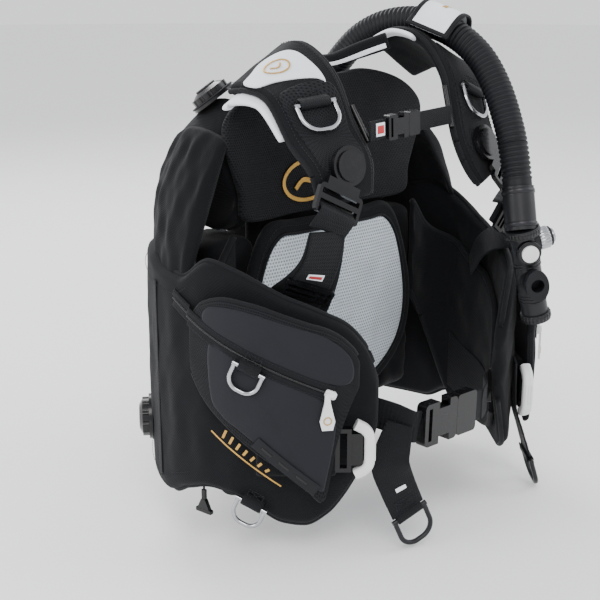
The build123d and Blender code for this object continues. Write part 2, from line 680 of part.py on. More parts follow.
def carry_handle():
    """Grip on two arms above the plate, hinged on a cross pin."""
    pin_y = PLATE_FRONT + 25
    body = Pos(0, pin_y, HANDLE_Z + 24) * (Rot(0, 90, 0) * Cylinder(8, 96))
    for x in (-46, 46):
        body += Pos(x, pin_y, HANDLE_Z + 10) * Box(5, 9, 20)
        body += Pos(x, pin_y, HANDLE_Z) * (Rot(0, 90, 0) * Cylinder(5.2, 5))
    body -= Pos(0, pin_y, HANDLE_Z) * (Rot(0, 90, 0) * Cylinder(2.85, 120))
    return body


# ---------------------------------------------------------------- build every sub-part
LEFT_OUT = 22.0                # how far the left front stands out
LEFT_POUCH = (15.5, 8.0)       # the same for its weight pouch: distance and turn

keep("backpack_plate", backpack_plate() + handle_pin())
keep("back_bladder", back_bladder())
keep("yoke_pad", yoke_pad())
keep("back_pad", back_pad())
keep("neck_collar", neck_collar())
keep("right_lobe", lobe(LOBE_HIGH_R))
keep("left_lobe", mirrored(lobe(LOBE_HIGH_L, LEFT_OUT)))
keep("right_pocket", pocket())
keep("left_pocket", mirrored(pocket(LEFT_OUT)))
keep("right_lining", lining())
keep("left_lining", mirrored(lining(LEFT_OUT)))
keep("right_weight_pouch", weight_pouch())
keep("left_weight_pouch", mirrored(weight_pouch(*LEFT_POUCH)))
keep("right_pouch_handle", pouch_handle())
keep("left_pouch_handle", mirrored(pouch_handle(*LEFT_POUCH)))
keep("right_shoulder_strap", ribbon(**RIGHT_STRAP, thick=STRAP_T, cut=4))
keep("left_shoulder_strap", ribbon(**LEFT_STRAP, thick=STRAP_T, cut=4))
keep("right_webbing", ribbon(**RIGHT_WEB, thick=WEB_T))
keep("left_webbing", ribbon(**LEFT_WEB, thick=WEB_T))

hub_r, hub_l = on_strap(RIGHT_STRAP, 4.0, 0.0), on_strap(LEFT_STRAP, 5.0, 0.0)
keep("swivel_hubs", swivel_hub(hub_r) + swivel_hub(hub_l))
keep("right_swivel_buckle", swivel_buckle(hub_r, -30))
keep("left_swivel_buckle", swivel_buckle(hub_l, 20))

keep("right_chest_ring", CHEST_PLANE_R * tube_ring(*CHEST_RING, RING_WIRE))
keep("left_chest_ring", CHEST_PLANE_L * tube_ring(*CHEST_RING, RING_WIRE))
keep("right_pocket_ring", pocket_ring_plane() * tube_ring(*SMALL_RING, RING_WIRE))
keep("right_hem_ring", hem_ring_plane() * tube_ring(*SMALL_RING, RING_WIRE))
keep("left_hem_ring", mirrored(hem_ring_plane(LEFT_OUT) * tube_ring(*SMALL_RING, RING_WIRE)))
keep("ring_loops", CHEST_PLANE_R * bar_loop(38, 12) + CHEST_PLANE_L * bar_loop(38, 12)
     + pocket_ring_plane() * bar_loop(25, 12) + hem_ring_plane() * bar_loop(25, 12)
     + mirrored(hem_ring_plane(LEFT_OUT) * bar_loop(25, 12)))

socket, plug = side_release(CHEST_SOCKET, 28, 9, CHEST_BASE)
chest_mouth = chest_plane(CHEST_FEMALE_X + CHEST_SOCKET)
keep("sternum_socket", chest_mouth * socket)
keep("sternum_plug", chest_mouth * plug)
chest_len = (CHEST_B - CHEST_A).length
web_r = chest_plane(0) * (Pos(CHEST_FEMALE_X / 2, 0, 0) * Box(CHEST_FEMALE_X - 2, CHEST_WEB, 2))
web_start = CHEST_FEMALE_X + CHEST_SOCKET + 13.5
web_len = chest_len - web_start - 20
web_l = chest_plane(web_start) * (Pos(web_len / 2, 0, 0) * Box(web_len, CHEST_WEB, 2))
keep("sternum_webbing", web_r + web_l)
keep("sternum_rails", rail(RIGHT_STRAP, 2.55, 3.55, 50) + rail(LEFT_STRAP, 3.6, 4.7, 50))

socket, plug = side_release(WAIST_SOCKET, 52, 14, WAIST_BASE)
keep("waist_socket", waist_plane() * socket)
keep("waist_plug", waist_plane() * plug)
keep("waist_webbing", ribbon(**RIGHT_BELT, thick=WEB_T) + ribbon(**LEFT_BELT, thick=WEB_T))
keep("right_tail", tail(RIGHT_TAIL))
keep("left_tail", tail(LEFT_TAIL))
keep("right_tail_ring", tail_end(RIGHT_TAIL) * tube_ring(*TAIL_RING, TAIL_WIRE))
keep("left_tail_ring", tail_end(LEFT_TAIL) * tube_ring(*TAIL_RING, TAIL_WIRE))
keep("waist_slider", tri_glide(on_ribbon(LEFT_BELT, 0.5), WAIST_WEB, 15))
keep("webbing_keepers", tri_glide(on_ribbon(RIGHT_WEB, 2.5), 50, 20, lift=3.2)
     + tri_glide(on_ribbon(LEFT_WEB, 0.5), 50, 16, lift=1.6))

keep("inflator_hose", hose())
keep("hose_elbow", hose_elbow())
keep("hose_flap", hose_flap())
keep("inflator_body", inflator_body())
keep("inflator_mouthpiece", mouthpiece())
keep("inflate_button", inflate_button())
keep("deflate_button", deflate_button())

keep("shoulder_dump_valve", Plane(origin=tuple(SHOULDER_VALVE), z_dir=SHOULDER_VALVE_DIR) * dump_valve())
keep("rear_dump_valve", on_oval(REAR_VALVE_THETA, 0.0, REAR_VALVE_Z) * dump_valve())
keep("dump_toggle", on_oval(TOGGLE_THETA, 14.0, TOGGLE_TOP) * toggle())
keep("right_zip_slider", zip_slider())
keep("left_zip_slider", mirrored(zip_slider(LEFT_OUT)))
keep("tank_band", band(BAND_W, BAND_T, 0))
keep("upper_tank_strap", band(UPPER_STRAP_W, WEB_T, UPPER_STRAP_Z))
keep("cam_buckle", cam_buckle())
keep("cam_lever", cam_lever())
keep("carry_handle", carry_handle())

os.makedirs("parts", exist_ok=True)
for name, shape in parts.items():
    export_step(shape, f"parts/{name}.step")
print(len(parts), "sub-parts")
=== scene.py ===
import bmesh
import bpy
import numpy as np
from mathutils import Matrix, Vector


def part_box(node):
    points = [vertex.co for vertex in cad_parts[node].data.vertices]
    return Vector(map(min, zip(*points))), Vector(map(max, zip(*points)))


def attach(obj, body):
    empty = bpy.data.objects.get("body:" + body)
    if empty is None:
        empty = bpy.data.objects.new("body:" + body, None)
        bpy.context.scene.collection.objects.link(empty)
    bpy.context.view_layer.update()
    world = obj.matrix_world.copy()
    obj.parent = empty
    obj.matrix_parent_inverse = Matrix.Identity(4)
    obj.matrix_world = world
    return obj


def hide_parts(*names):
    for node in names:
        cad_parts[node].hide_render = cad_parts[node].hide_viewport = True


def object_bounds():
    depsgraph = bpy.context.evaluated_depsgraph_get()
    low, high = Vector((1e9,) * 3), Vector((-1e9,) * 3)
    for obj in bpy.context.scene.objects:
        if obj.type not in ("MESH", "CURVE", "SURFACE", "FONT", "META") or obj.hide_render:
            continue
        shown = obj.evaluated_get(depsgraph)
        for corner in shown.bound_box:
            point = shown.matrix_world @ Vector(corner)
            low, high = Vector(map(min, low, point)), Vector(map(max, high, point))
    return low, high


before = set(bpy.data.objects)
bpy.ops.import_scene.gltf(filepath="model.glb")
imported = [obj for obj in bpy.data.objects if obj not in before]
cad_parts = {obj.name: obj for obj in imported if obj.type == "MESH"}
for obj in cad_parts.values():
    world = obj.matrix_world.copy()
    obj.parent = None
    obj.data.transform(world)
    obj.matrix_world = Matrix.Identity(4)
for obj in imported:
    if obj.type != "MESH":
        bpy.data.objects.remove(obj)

bl_info = {
    "name": "Buoyancy vest finisher",
    "version": (1, 0, 0),
    "blender": (4, 5, 0),
    "location": "View3D > Sidebar > Vest",
    "description": "Cloth, webbing, hose and finishes for a diver's vest over its solid frame",
    "category": "Object",
}

CAD_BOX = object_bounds()
MM = 0.001

# ---------------------------------------------------------------- the vest's own layout, in mm
WRAP_Y, WRAP_A, WRAP_B = -160.0, 252.0, 200.0
LEFT_OUT = 22.0
TANK_R = 85.5
LOBE_THICK = 28.0
DEGREE_MM = 3.9                  # about the run of one degree along the waist oval
SWELL_FROM, SWELL_OVER = 15, 35  # degrees: where the left side's extra reach starts, and its ramp
PAD_MID_Z = -35                  # the height that the back pad's rings shrink towards
BELLY = np.array([0, -1.0, 0])   # the way that the back pads and the chest strap face
TURN = 6.283
HOSE_RADIUS, HOSE_CUFF = 17.9, 17.2

# columns: angle on the waist oval, outer inset, low z, high z
LOBE = np.array([
    (-52, 0, -186, 66), (-38, 0, -208, 70), (-25, 0, -216, 66), (-12, 0, -219, 55), (-2, 1, -204, 52),
    (10, 5, -193, 74), (19, 10, -198, 66), (28, 15, -214, 52), (36, 15, -228, 38), (43, 15, -231, 28),
    (50, 15, -218, 16), (55, 15, -197, 6), (61, 15, -160, -19), (66, 16, -118, -60)], float)
LEFT_TOP = np.array([70, 74, 92, 101, 88, 70, 58, 48, 40, 30, 18, 6, -19, -60], float)
# columns: angle on the waist oval, outer inset, inner inset, low z, high z
POCKET = np.array([
    (6, -5, 1, -46, 8), (12, -8, 1, -78, 32), (20, -11, -1, -104, 40), (28, -12, -3.2, -128, 36),
    (36, -12, -3.2, -150, 26), (43, -12, -3.2, -172, 16), (47.5, -12, -3.2, -190, 10),
    (51, -12, -3.2, -122, 2), (55, -12, -3.2, -74, -14), (57, -12, -3.2, -56, -28)], float)

RIGHT_STRAP = dict(
    centres=[(-112, -142, 272), (-112, -172, 274), (-114, -215, 254), (-118, -252, 207), (-118, -280, 176),
             (-117, -287, 140)],
    across=[(-.89, 0, -.45), (-.89, 0, -.45), (-.95, .1, -.3), (-.97, .15, -.2), (-.98, .1, -.1),
            (-.98, .1, -.1)],
    widths=[104, 104, 94, 86, 84, 72])
LEFT_STRAP = dict(
    centres=[(120, -143, 274), (130, -174, 287), (136, -210, 280), (134, -242, 252), (122, -264, 215),
             (112, -287, 176), (124, -300, 140)],
    across=[(.89, 0, -.45), (.89, 0, -.45), (.9, .05, -.4), (.95, .1, -.3), (.97, .12, -.2), (.98, .1, -.1),
            (.98, .1, -.1)],
    widths=[98, 100, 98, 92, 86, 84, 66])
RIGHT_WEB = dict(
    centres=[(-152, -295, 112), (-154, -290, 84), (-154, -275, 56), (-157, -260, 32), (-163, -249, 15),
             (-166, -244, 6)],
    across=[(.95, -.1, 0), (.95, -.2, 0), (.88, -.45, 0), (.72, -.69, 0), (.68, -.73, 0), (.66, -.75, 0)],
    widths=[50, 54, 62, 68, 70, 70])
LEFT_WEB = dict(
    centres=[(134, -308, 106), (156, -312, 88), (180, -300, 70), (188, -278, 54), (176, -254, 36),
             (172, -240, 6)],
    across=[(.8, -.1, .5), (.7, -.1, .6), (.5, .3, .7), (.5, .7, .4), (.6, .75, .2), (.70, .71, 0)],
    widths=[50] * 6)
RIGHT_BELT = dict(
    centres=[(-120.8, -295.7, -104), (-104.3, -303.4, -106), (-90.5, -308.8, -108), (-80, -331, -112),
             (-69, -349.4, -119.8), (-59.5, -353, -122.2)],
    across=[(0, 0, 1)] * 6, widths=[38] * 6)
LEFT_BELT = dict(
    centres=[(128.8, -312.2, -124), (111.1, -320.6, -124), (96.5, -326.8, -123.6), (80, -343, -124.8),
             (59, -353, -125.71), (52, -353, -125.5), (16, -353, -124.42)],
    across=[(0, 0, 1)] * 7, widths=[38] * 7)
RIGHT_TAIL = dict(
    centres=[(-80, -342, -116), (-88, -342, -136), (-97, -344, -160), (-87, -346, -188), (-71, -350, -224)],
    across=[(.73, -.69, 0), (.73, -.69, 0), (.73, -.69, 0), (.85, -.45, .25), (.9, -.3, .38)],
    widths=[30, 38, 44, 44, 44])
LEFT_TAIL = dict(
    centres=[(142.6, -339.6, -92), (143.7, -339, -112), (148.6, -336.2, -136), (152.6, -334.7, -160),
             (165, -337, -192), (176, -341, -226)],
    across=[(.74, .67, 0), (.72, .69, 0), (.70, .71, 0), (.66, .75, 0), (.66, .75, 0), (.64, .75, 0)],
    widths=[26, 28, 28, 30, 38, 38])
HOSE_ROUTE = [(104, -53, 257), (107, -77, 285), (112, -107, 307), (119, -145, 320), (128, -189, 321),
              (136, -230, 307), (140.5, -265, 283), (137, -294, 250), (129, -318, 213), (118.5, -339.5, 175),
              (112, -351, 134)]


# ---------------------------------------------------------------- curves as whole arrays
def steps(x, y, at):
    """Monotone cubic through (x, y): each knot's slope is the harmonic mean of its neighbours' slopes."""
    x, y = np.asarray(x, float), np.asarray(y, float)
    gap = np.diff(x)
    slope = np.diff(y) / gap
    same = slope[1:] * slope[:-1] > 0
    mean = np.where(same, 2 * slope[1:] * slope[:-1] / np.where(same, slope[1:] + slope[:-1], 1), 0)
    d = np.concatenate([[slope[0]], mean, [slope[-1]]])
    i = np.clip(np.searchsorted(x, at, "right") - 1, 0, len(gap) - 1)
    t = (at - x[i]) / gap[i]
    a, b = y[i], y[i + 1]
    return (a * (1 + 2 * t) * (1 - t) ** 2 + b * t * t * (3 - 2 * t)
            + gap[i] * (d[i] * t * (1 - t) ** 2 - d[i + 1] * t * t * (1 - t)))


def blend_four(q, i, t):
    """Catmull-Rom blend of the four points from q[i] on, at the share t of the way between the middle two."""
    a, b, c, d = q[i], q[i + 1], q[i + 2], q[i + 3]
    straight = 2 * b + (c - a) * t
    return 0.5 * (straight + (2 * a - 5 * b + 4 * c - d) * t ** 2 + (3 * b - a - 3 * c + d) * t ** 3)


def through(points, at):
    """Catmull-Rom curve through points, read at the fractional indices in at."""
    p = np.asarray(points, float)
    q = np.vstack([2 * p[0] - p[1], p, 2 * p[-1] - p[-2]])
    i = np.clip(np.floor(at).astype(int), 0, len(p) - 2)
    return blend_four(q, i, (np.asarray(at, float) - i)[:, None])


def unit(v):
    """The same directions, each one long."""
    return v / np.linalg.norm(v, axis=-1, keepdims=True)


def oval(theta, inset):
    """Point of the waist ellipse at theta degrees, moved inwards along its normal by inset."""
    t = np.radians(theta)
    nx, ny = -np.cos(t) / WRAP_A, -np.sin(t) / WRAP_B
    n = np.hypot(nx, ny)
    return -WRAP_A * np.cos(t) - inset * nx / n, WRAP_Y - WRAP_B * np.sin(t) - inset * ny / n


def swell(theta, out):
    """Extra outward reach of the fuller left side: a straight ramp over SWELL_OVER degrees."""
    return out * np.clip((theta - SWELL_FROM) / SWELL_OVER, 0, 1)


def wall_points(theta, inset, z, side):
    """Points on the waist wall; side is -1 on the wearer's right and 1 on the left."""
    theta, inset, z = np.broadcast_arrays(theta, inset, z)
    x, y = oval(theta, inset - (swell(theta, LEFT_OUT) if side > 0 else 0))
    return np.stack([-side * x, y, z], -1)


def creases(a, b, amount, seed):
    """Soft folds: five sine waves of falling size, each at its own slant and start, added up."""
    rng = np.random.default_rng(seed)
    out = 0
    for k in range(1, 6):
        slant, start = rng.uniform(-0.9, 0.9), rng.uniform(0, 6.28)
        pitch = rng.uniform(38, 80) / k ** 0.6
        out = out + np.sin(TURN * (a * np.cos(slant) + b * np.sin(slant)) / pitch + start) / k
    return out * amount * 0.5


# ---------------------------------------------------------------- meshes from grids
def arc_uv(grid):
    """UV in metres: running length down the rows and along the columns of the grid."""
    down = np.linalg.norm(np.diff(grid, axis=0), axis=2)
    along = np.linalg.norm(np.diff(grid, axis=1), axis=2)
    u = np.vstack([np.zeros(grid.shape[1]), np.cumsum(down, 0)])
    v = np.hstack([np.zeros((grid.shape[0], 1)), np.cumsum(along, 1)])
    mid_u, mid_v = u.mean(1, keepdims=True), v.mean(0, keepdims=True)
    return np.stack([np.broadcast_to(mid_u, u.shape), np.broadcast_to(mid_v, v.shape)], -1) * MM


def grid_object(name, grid, material, wrap=False, uv=None, smooth=True):
    """A mesh whose vertex (i, j) is grid[i, j], in mm; wrap joins the last column to the first."""
    n, m = grid.shape[:2]
    if uv is None:
        uv = arc_uv(grid)
    if wrap:
        closing = np.linalg.norm(grid[:, :1] - grid[:, -1:], axis=2).mean() * MM
        uv = np.concatenate([uv, uv[:, -1:] + np.array([0, closing])], 1)
    i, j = np.meshgrid(np.arange(n - 1), np.arange(m if wrap else m - 1), indexing="ij")
    j2 = (j + 1) % m
    quads = np.stack([i * m + j, (i + 1) * m + j, (i + 1) * m + j2, i * m + j2], -1).reshape(-1, 4)
    k = uv.shape[1]
    corners = np.stack([i * k + j, (i + 1) * k + j, (i + 1) * k + j + 1, i * k + j + 1], -1).reshape(-1)
    mesh = bpy.data.meshes.new(name)
    mesh.from_pydata((grid.reshape(-1, 3) * MM).tolist(), [], quads.tolist())
    layer = mesh.uv_layers.new(name="Cloth")
    layer.data.foreach_set("uv", uv.reshape(-1, 2)[corners].astype(np.float32).ravel())
    obj = bpy.data.objects.new(name, mesh)
    bpy.context.scene.collection.objects.link(obj)
    mesh.materials.append(material)
    tidy(mesh, smooth)
    return obj


def tidy(mesh, smooth=True):
    """Merges collapsed ends and turns all faces outwards."""
    bm = bmesh.new()
    bm.from_mesh(mesh)
    bmesh.ops.remove_doubles(bm, verts=bm.verts, dist=2e-5)
    bmesh.ops.dissolve_degenerate(bm, edges=bm.edges, dist=1e-6)
    bmesh.ops.recalc_face_normals(bm, faces=bm.faces)
    bm.to_mesh(mesh)
    bm.free()
    mesh.polygons.foreach_set("use_smooth", [smooth] * len(mesh.polygons))
    mesh.update()


def joined(name, objects):
    """Several meshes made one object."""
    with bpy.context.temp_override(active_object=objects[0], selected_editable_objects=objects):
        bpy.ops.object.join()
    objects[0].name = name
    return objects[0]


def section(faces=10, caps=7):
    """Rounded slab section: which face each point is on, its share of the height, and of the end rounding."""
    run = np.linspace(-1, 1, faces)
    turn = np.linspace(0, np.pi, caps + 2)[1:-1]
    w = np.concatenate([np.ones(faces), np.cos(turn), -np.ones(faces), -np.cos(turn)])
    c = np.concatenate([run, np.ones(caps), -run, -np.ones(caps)])
    s = np.concatenate([np.zeros(faces), np.sin(turn), np.zeros(faces), -np.sin(turn)])
    return w, c, s


def end_round(u, share):
    """1 in the middle of -1..1, falling as a quarter circle over the last share at each end."""
    over = np.clip((np.abs(u) - 1 + share) / share, 0, 1)
    return np.sqrt(np.clip(1 - over ** 2, 0, 1))


def eased(n, share):
    """n steps from -1 to 1, closer together inside the last share at each end."""
    k = max(6, n // 8)
    cap = 1 - share * (1 - np.sin(np.linspace(0, np.pi / 2, k)))
    return np.concatenate([-cap[::-1], np.linspace(-cap[0], cap[0], n - 2 * k + 2)[1:-1], cap])


def wall_shell(name, rows, side, material, nu=120, radius=9.0, puff=0.0, fold=0.0, seed=1, faces=26):
    """Standing cloth wall: a rounded section carried round the waist oval, its faces pushed out by puff and
    folds."""
    lo, hi = rows[0, 0], rows[-1, 0]
    span = (hi - lo) * DEGREE_MM / 2
    u = eased(nu, radius / span)
    theta = (lo + hi) / 2 + (hi - lo) / 2 * u
    outer, inner, low, high = [steps(rows[:, 0], rows[:, c], theta)[:, None] for c in (1, 2, 3, 4)]
    w, c, s = section(faces)
    half = (high - low) / 2
    share = np.minimum(radius / half, 0.5)
    k = end_round(u, radius / span)[:, None]
    h = c * (1 - share) + share * s
    z = (high + low) / 2 + half * h * (0.97 + 0.03 * k)
    soft = puff + creases(theta[:, None] * DEGREE_MM, z, fold, seed)
    push = soft * (1 - c ** 4) * np.clip(k, 0, 1) ** 2 * (1 - s ** 2)
    inset = (outer + inner) / 2 - w * k * (inner - outer) / 2 - np.where(w > 0, 1, -1) * push
    grid = wall_points(theta[:, None], inset, z, side)
    return grid_object(name, grid, material, wrap=True)


def strap_frames(strap, at):
    """Centre, width direction, face direction and width of a strap at fractional stations."""
    centre = through(strap["centres"], at)
    ahead = through(strap["centres"], np.minimum(at + 0.02, len(strap["centres"]) - 1))
    behind = through(strap["centres"], np.maximum(at - 0.02, 0))
    run = unit(ahead - behind)
    side = through(strap["across"], at)
    side = unit(side - run * (side * run).sum(1, keepdims=True))
    face = np.cross(run, side)
    face = face * (-1 if face[len(face) // 2].dot([0, -0.6, 0.8]) < 0 else 1)
    width = through(np.array(strap["widths"], float)[:, None], at)[:, 0]
    return centre, side, face, width


def strap_shell(name, strap, thick, material, span=None, share=(-1, 1), lift=0.0, nu=90, radius=None,
                fold=0.0, seed=1, faces=12, puff=0.0, cut=(0.0, 0.0)):
    """Strap or patch: a rounded section carried along the strap; share is the part of its width that it
    covers, span the stations that it runs between, and cut how far each edge slants over its length."""
    last = len(strap["centres"]) - 1
    a, b = span or (0, last)
    pts = np.array(strap["centres"], float)
    length = np.linalg.norm(np.diff(pts, axis=0), axis=1).sum() * (b - a) / last
    radius = radius or thick / 2
    u = eased(nu, min(radius / (length / 2), 0.4))
    at = (a + b) / 2 + (b - a) / 2 * u
    centre, side, face, width = strap_frames(strap, np.clip(at, 0, last))
    w, c, s = section(faces, 5)
    k = end_round(u, min(radius / (length / 2), 0.4))[:, None]
    lo, hi = share
    left = width[:, None] / 2 * (lo + u[:, None] * cut[0])
    right = width[:, None] / 2 * (hi + u[:, None] * cut[1])
    half = (right - left) / 2
    round_share = np.minimum(radius / half, 0.5)
    h = c * (1 - round_share) + round_share * s
    across = (left + right) / 2 + half * h * (0.94 + 0.06 * k)
    push = (puff + creases(at[:, None] * 40, across, fold, seed)) * (1 - c ** 4) * (1 - s ** 2) * k ** 2
    out = lift + w * k * thick / 2 + np.where(w > 0, 1, -1) * push
    grid = centre[:, None] + side[:, None] * across[..., None] + face[:, None] * out[..., None]
    return grid_object(name, grid, material, wrap=True)


def rounded_outline(points, n):
    """Closed Catmull-Rom outline through (x, z) points, n points evenly spread over its corners."""
    p = np.asarray(points, float)
    q = np.vstack([p[-1:], p, p[:2]])
    at = np.linspace(0, len(p), n, endpoint=False)
    i = at.astype(int)
    return blend_four(q, i, (at - i)[:, None])


def mirror_half(half):
    """Closed outline from its half, listed from the middle of the top down the left side (x above 0)."""
    h = np.asarray(half, float)
    back = h[::-1] * np.array([-1, 1])
    return np.vstack([h, back[np.abs(back[:, 0]) > 0.01]])


def pad_shell(name, outline, centre, y0, y1, material, n=160, radius=7.0, crown=0.0, fold=0.0, seed=1,
              rings=22):
    """Flat pad facing -Y: rings from its centre to its outline and back, with a round rim and a crowned
    front."""
    edge = rounded_outline(outline, n) - np.asarray(centre, float)
    size = np.linalg.norm(edge, axis=1)
    share = radius / size.mean()
    flat = np.linspace(0.0, 1 - share, rings)
    turn = np.linspace(0, np.pi, 13)[1:-1]
    r = np.concatenate([flat, 1 - share + share * np.sin(turn), flat[::-1]])
    w = np.concatenate([np.ones(rings), np.cos(turn), -np.ones(rings)])
    x = centre[0] + edge[None, :, 0] * r[:, None]
    z = centre[1] + edge[None, :, 1] * r[:, None]
    push = (crown + creases(x, z, fold, seed)) * (1 - r[:, None] ** 4) * np.clip(w, 0, 1)[:, None]
    y = (y0 + y1) / 2 - w[:, None] * (y1 - y0) / 2 - push
    grid = np.stack([x, y, z], -1)
    uv = np.stack([x, z], -1) * MM
    return grid_object(name, grid, material, wrap=True, uv=uv)


def tube(name, path, radius, material, around=10):
    """Round tube on a path: each ring faces along it; radius is one number or one for each point."""
    path = np.asarray(path, float)
    run = unit(np.gradient(path, axis=0))
    ref = np.where(np.abs(run[:, 2:3]) > 0.9, np.array([[0, 1, 0]]), np.array([[0, 0, 1]]))
    a = unit(np.cross(run, ref))
    b = np.cross(run, a)
    turn = np.linspace(0, 2 * np.pi, around, endpoint=False)
    radius = np.broadcast_to(radius, len(path))[:, None, None]
    ring = np.cos(turn)[None, :, None] * a[:, None] + np.sin(turn)[None, :, None] * b[:, None]
    grid = path[:, None] + ring * radius
    ends = [np.repeat(path[i][None, None], around, 1) for i in (0, -1)]
    return grid_object(name, np.concatenate([ends[0], grid, ends[1]]), material, wrap=True)


def tape(name, path, out, width, thick, material):
    """Flat tape on a surface: a rounded section, its width along the surface, its thickness along out."""
    path, out = np.asarray(path, float), unit(np.asarray(out, float))
    run = unit(np.gradient(path, axis=0))
    side = unit(np.cross(run, out))
    w, c, s = section(4, 3)
    half = width / 2
    share = min(thick / 2 / half, 0.5)
    h = (c * (1 - share) + share * s) * half
    grid = path[:, None] + side[:, None] * h[None, :, None] + out[:, None] * (w * thick / 2)[None, :, None]
    first, last = path[:1, None].repeat(len(w), 1), path[-1:, None].repeat(len(w), 1)
    return grid_object(name, np.concatenate([first, grid, last]), material, wrap=True)


def wall_line(theta, z, inset, side):
    """A line on the waist wall with its outward directions."""
    p = wall_points(theta, inset, z, side)
    q = wall_points(theta, np.asarray(inset) - 1.0, z, side)
    return p, q - p


def place(points, origin, x_dir, y_dir, z_dir):
    """Local points (x, y, z) carried into a plane's frame."""
    p = np.asarray(points, float)
    return (np.asarray(origin, float) + p[..., :1] * np.asarray(x_dir) + p[..., 1:2] * np.asarray(y_dir)
            + p[..., 2:] * np.asarray(z_dir))


def wall_plane(theta, inset, z, tilt, side):
    """Origin, forward, up and outward directions on the waist wall, tilted about the outward one."""
    t = np.radians(theta)
    x, y = oval(theta, inset - (swell(theta, LEFT_OUT) if side > 0 else 0))
    run = unit(np.array([WRAP_A * np.sin(t), -WRAP_B * np.cos(t), 0]))
    out = np.cross(run, [0, 0, 1])
    a = np.radians(tilt)
    x_dir = run * np.cos(a) + np.array([0, 0, 1]) * np.sin(a)
    y_dir = np.cross(out, x_dir)
    flip = np.array([-side, 1, 1])
    return np.array([x, y, z]) * flip, x_dir * flip, y_dir * flip, out * flip


def strap_plane(strap, t, lift):
    """Origin, across, up and outward directions above a shoulder strap, on the straight run between two
    stations."""
    pts = np.array(strap["centres"], float)
    i = min(int(t), len(pts) - 2)
    f = t - i
    run = unit(pts[i + 1] - pts[i])
    side = np.array(strap["across"][i]) * (1 - f) + np.array(strap["across"][i + 1]) * f
    side = unit(side - run * side.dot(run))
    face = np.cross(run, side)
    face = -face if face[1] > 0 else face
    across = side if np.cross(face, side)[2] > 0 else -side
    return pts[i] * (1 - f) + pts[i + 1] * f + face * (8 + lift), across, np.cross(face, across), face


def stitches(name, path, out, material, pitch=4.2, length=2.9, wide=0.45):
    """Sewn line: each stitch is a flat four-sided dash of three rings, its middle lifted off the cloth."""
    path, out = np.asarray(path, float), unit(np.asarray(out, float))
    run = np.concatenate([[0], np.cumsum(np.linalg.norm(np.diff(path, axis=0), axis=1))])
    count = max(2, int(run[-1] / pitch))
    s = (np.arange(count)[:, None] + 0.5) * pitch + np.array([-0.5, 0, 0.5]) * length
    s = np.clip(s, 0, run[-1])
    p = np.stack([np.interp(s, run, path[:, c]) for c in range(3)], -1)
    n = unit(np.stack([np.interp(s, run, out[:, c]) for c in range(3)], -1))
    along = unit(p[:, 2:] - p[:, :1] + 1e-9)
    side = unit(np.cross(along, n))
    lift = np.array([0.0, 0.5, 0.0])[None, :, None]
    size = np.array([0.45, 1.0, 0.45])[None, :, None]
    ring = []
    for a, b in ((-1, -.6), (1, -.6), (.7, .7), (-.7, .7)):
        ring.append(p + side * a * wide * size + n * (lift + b * wide * size))
    v = np.stack(ring, 2).reshape(-1, 3)
    base = (np.arange(count) * 12)[:, None, None]
    k = np.arange(4)
    quads = np.stack([k, (k + 1) % 4, (k + 1) % 4 + 4, k + 4], -1)
    quads = np.concatenate([quads, quads + 4, [[3, 2, 1, 0], [8, 9, 10, 11]]])
    faces = (base + quads[None]).reshape(-1, 4)
    mesh = bpy.data.meshes.new(name)
    mesh.from_pydata((v * MM).tolist(), [], faces.tolist())
    mesh.uv_layers.new(name="Cloth")
    mesh.materials.append(material)
    mesh.update()
    obj = bpy.data.objects.new(name, mesh)
    bpy.context.scene.collection.objects.link(obj)
    tidy(mesh)
    return obj


def worn(obj, body, slot, *nodes, fill=None):
    """Rides a body and stands for its nodes. The slot and fill arguments are not used."""
    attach(obj, body)
    if nodes:
        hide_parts(*nodes)
    return obj


def sewn(name, path, out, **how):
    """A line of stitches on the vest itself."""
    return worn(stitches(name, path, out, finish("thread"), **how), "vest", "woven")


def bound(name, path, radius, around=8):
    """A bound edge or piping on the vest itself: round tape along a line."""
    return worn(tube(name, path, radius, finish("binding"), around=around), "vest", "webbing")


def facing(path):
    """The belly side direction, once for each point of a path."""
    return np.tile(BELLY, (len(path), 1))


def closed_line(points):
    """A line whose last point is its first one again."""
    return np.concatenate([points, points[:1]])


# ---------------------------------------------------------------- finishes
def effect(name, count, value, outs):
    """An empty shader node group with a vector and a count to the metre as inputs, and its input and output
    sockets."""
    tree = bpy.data.node_groups.new(name, "ShaderNodeTree")
    tree.interface.new_socket("Vector", in_out="INPUT", socket_type="NodeSocketVector")
    tree.interface.new_socket(count, in_out="INPUT", socket_type="NodeSocketFloat").default_value = value
    for label in outs:
        tree.interface.new_socket(label, in_out="OUTPUT", socket_type="NodeSocketFloat")
    return tree, tree.nodes.new("NodeGroupInput").outputs, tree.nodes.new("NodeGroupOutput").inputs


def feed(tree, socket, value):
    """Sets a socket from a number, a colour or another node's output."""
    if isinstance(value, bpy.types.NodeSocket):
        tree.links.new(value, socket)
    else:
        socket.default_value = value


def calc(tree, op, a, b=0.0, c=None, clamp=False):
    """One arithmetic step."""
    n = tree.nodes.new("ShaderNodeMath")
    n.operation, n.use_clamp = op, clamp
    feed(tree, n.inputs[0], a)
    feed(tree, n.inputs[1], b)
    if c is not None:
        feed(tree, n.inputs[2], c)
    return n.outputs[0]


def noise(tree, vector, scale, detail=3.0, rough=0.55):
    """Smooth random values; scale is the number of patches in a metre."""
    n = tree.nodes.new("ShaderNodeTexNoise")
    feed(tree, n.inputs["Vector"], vector)
    feed(tree, n.inputs["Scale"], scale)
    n.inputs["Detail"].default_value = detail
    n.inputs["Roughness"].default_value = rough
    return n.outputs["Fac"]


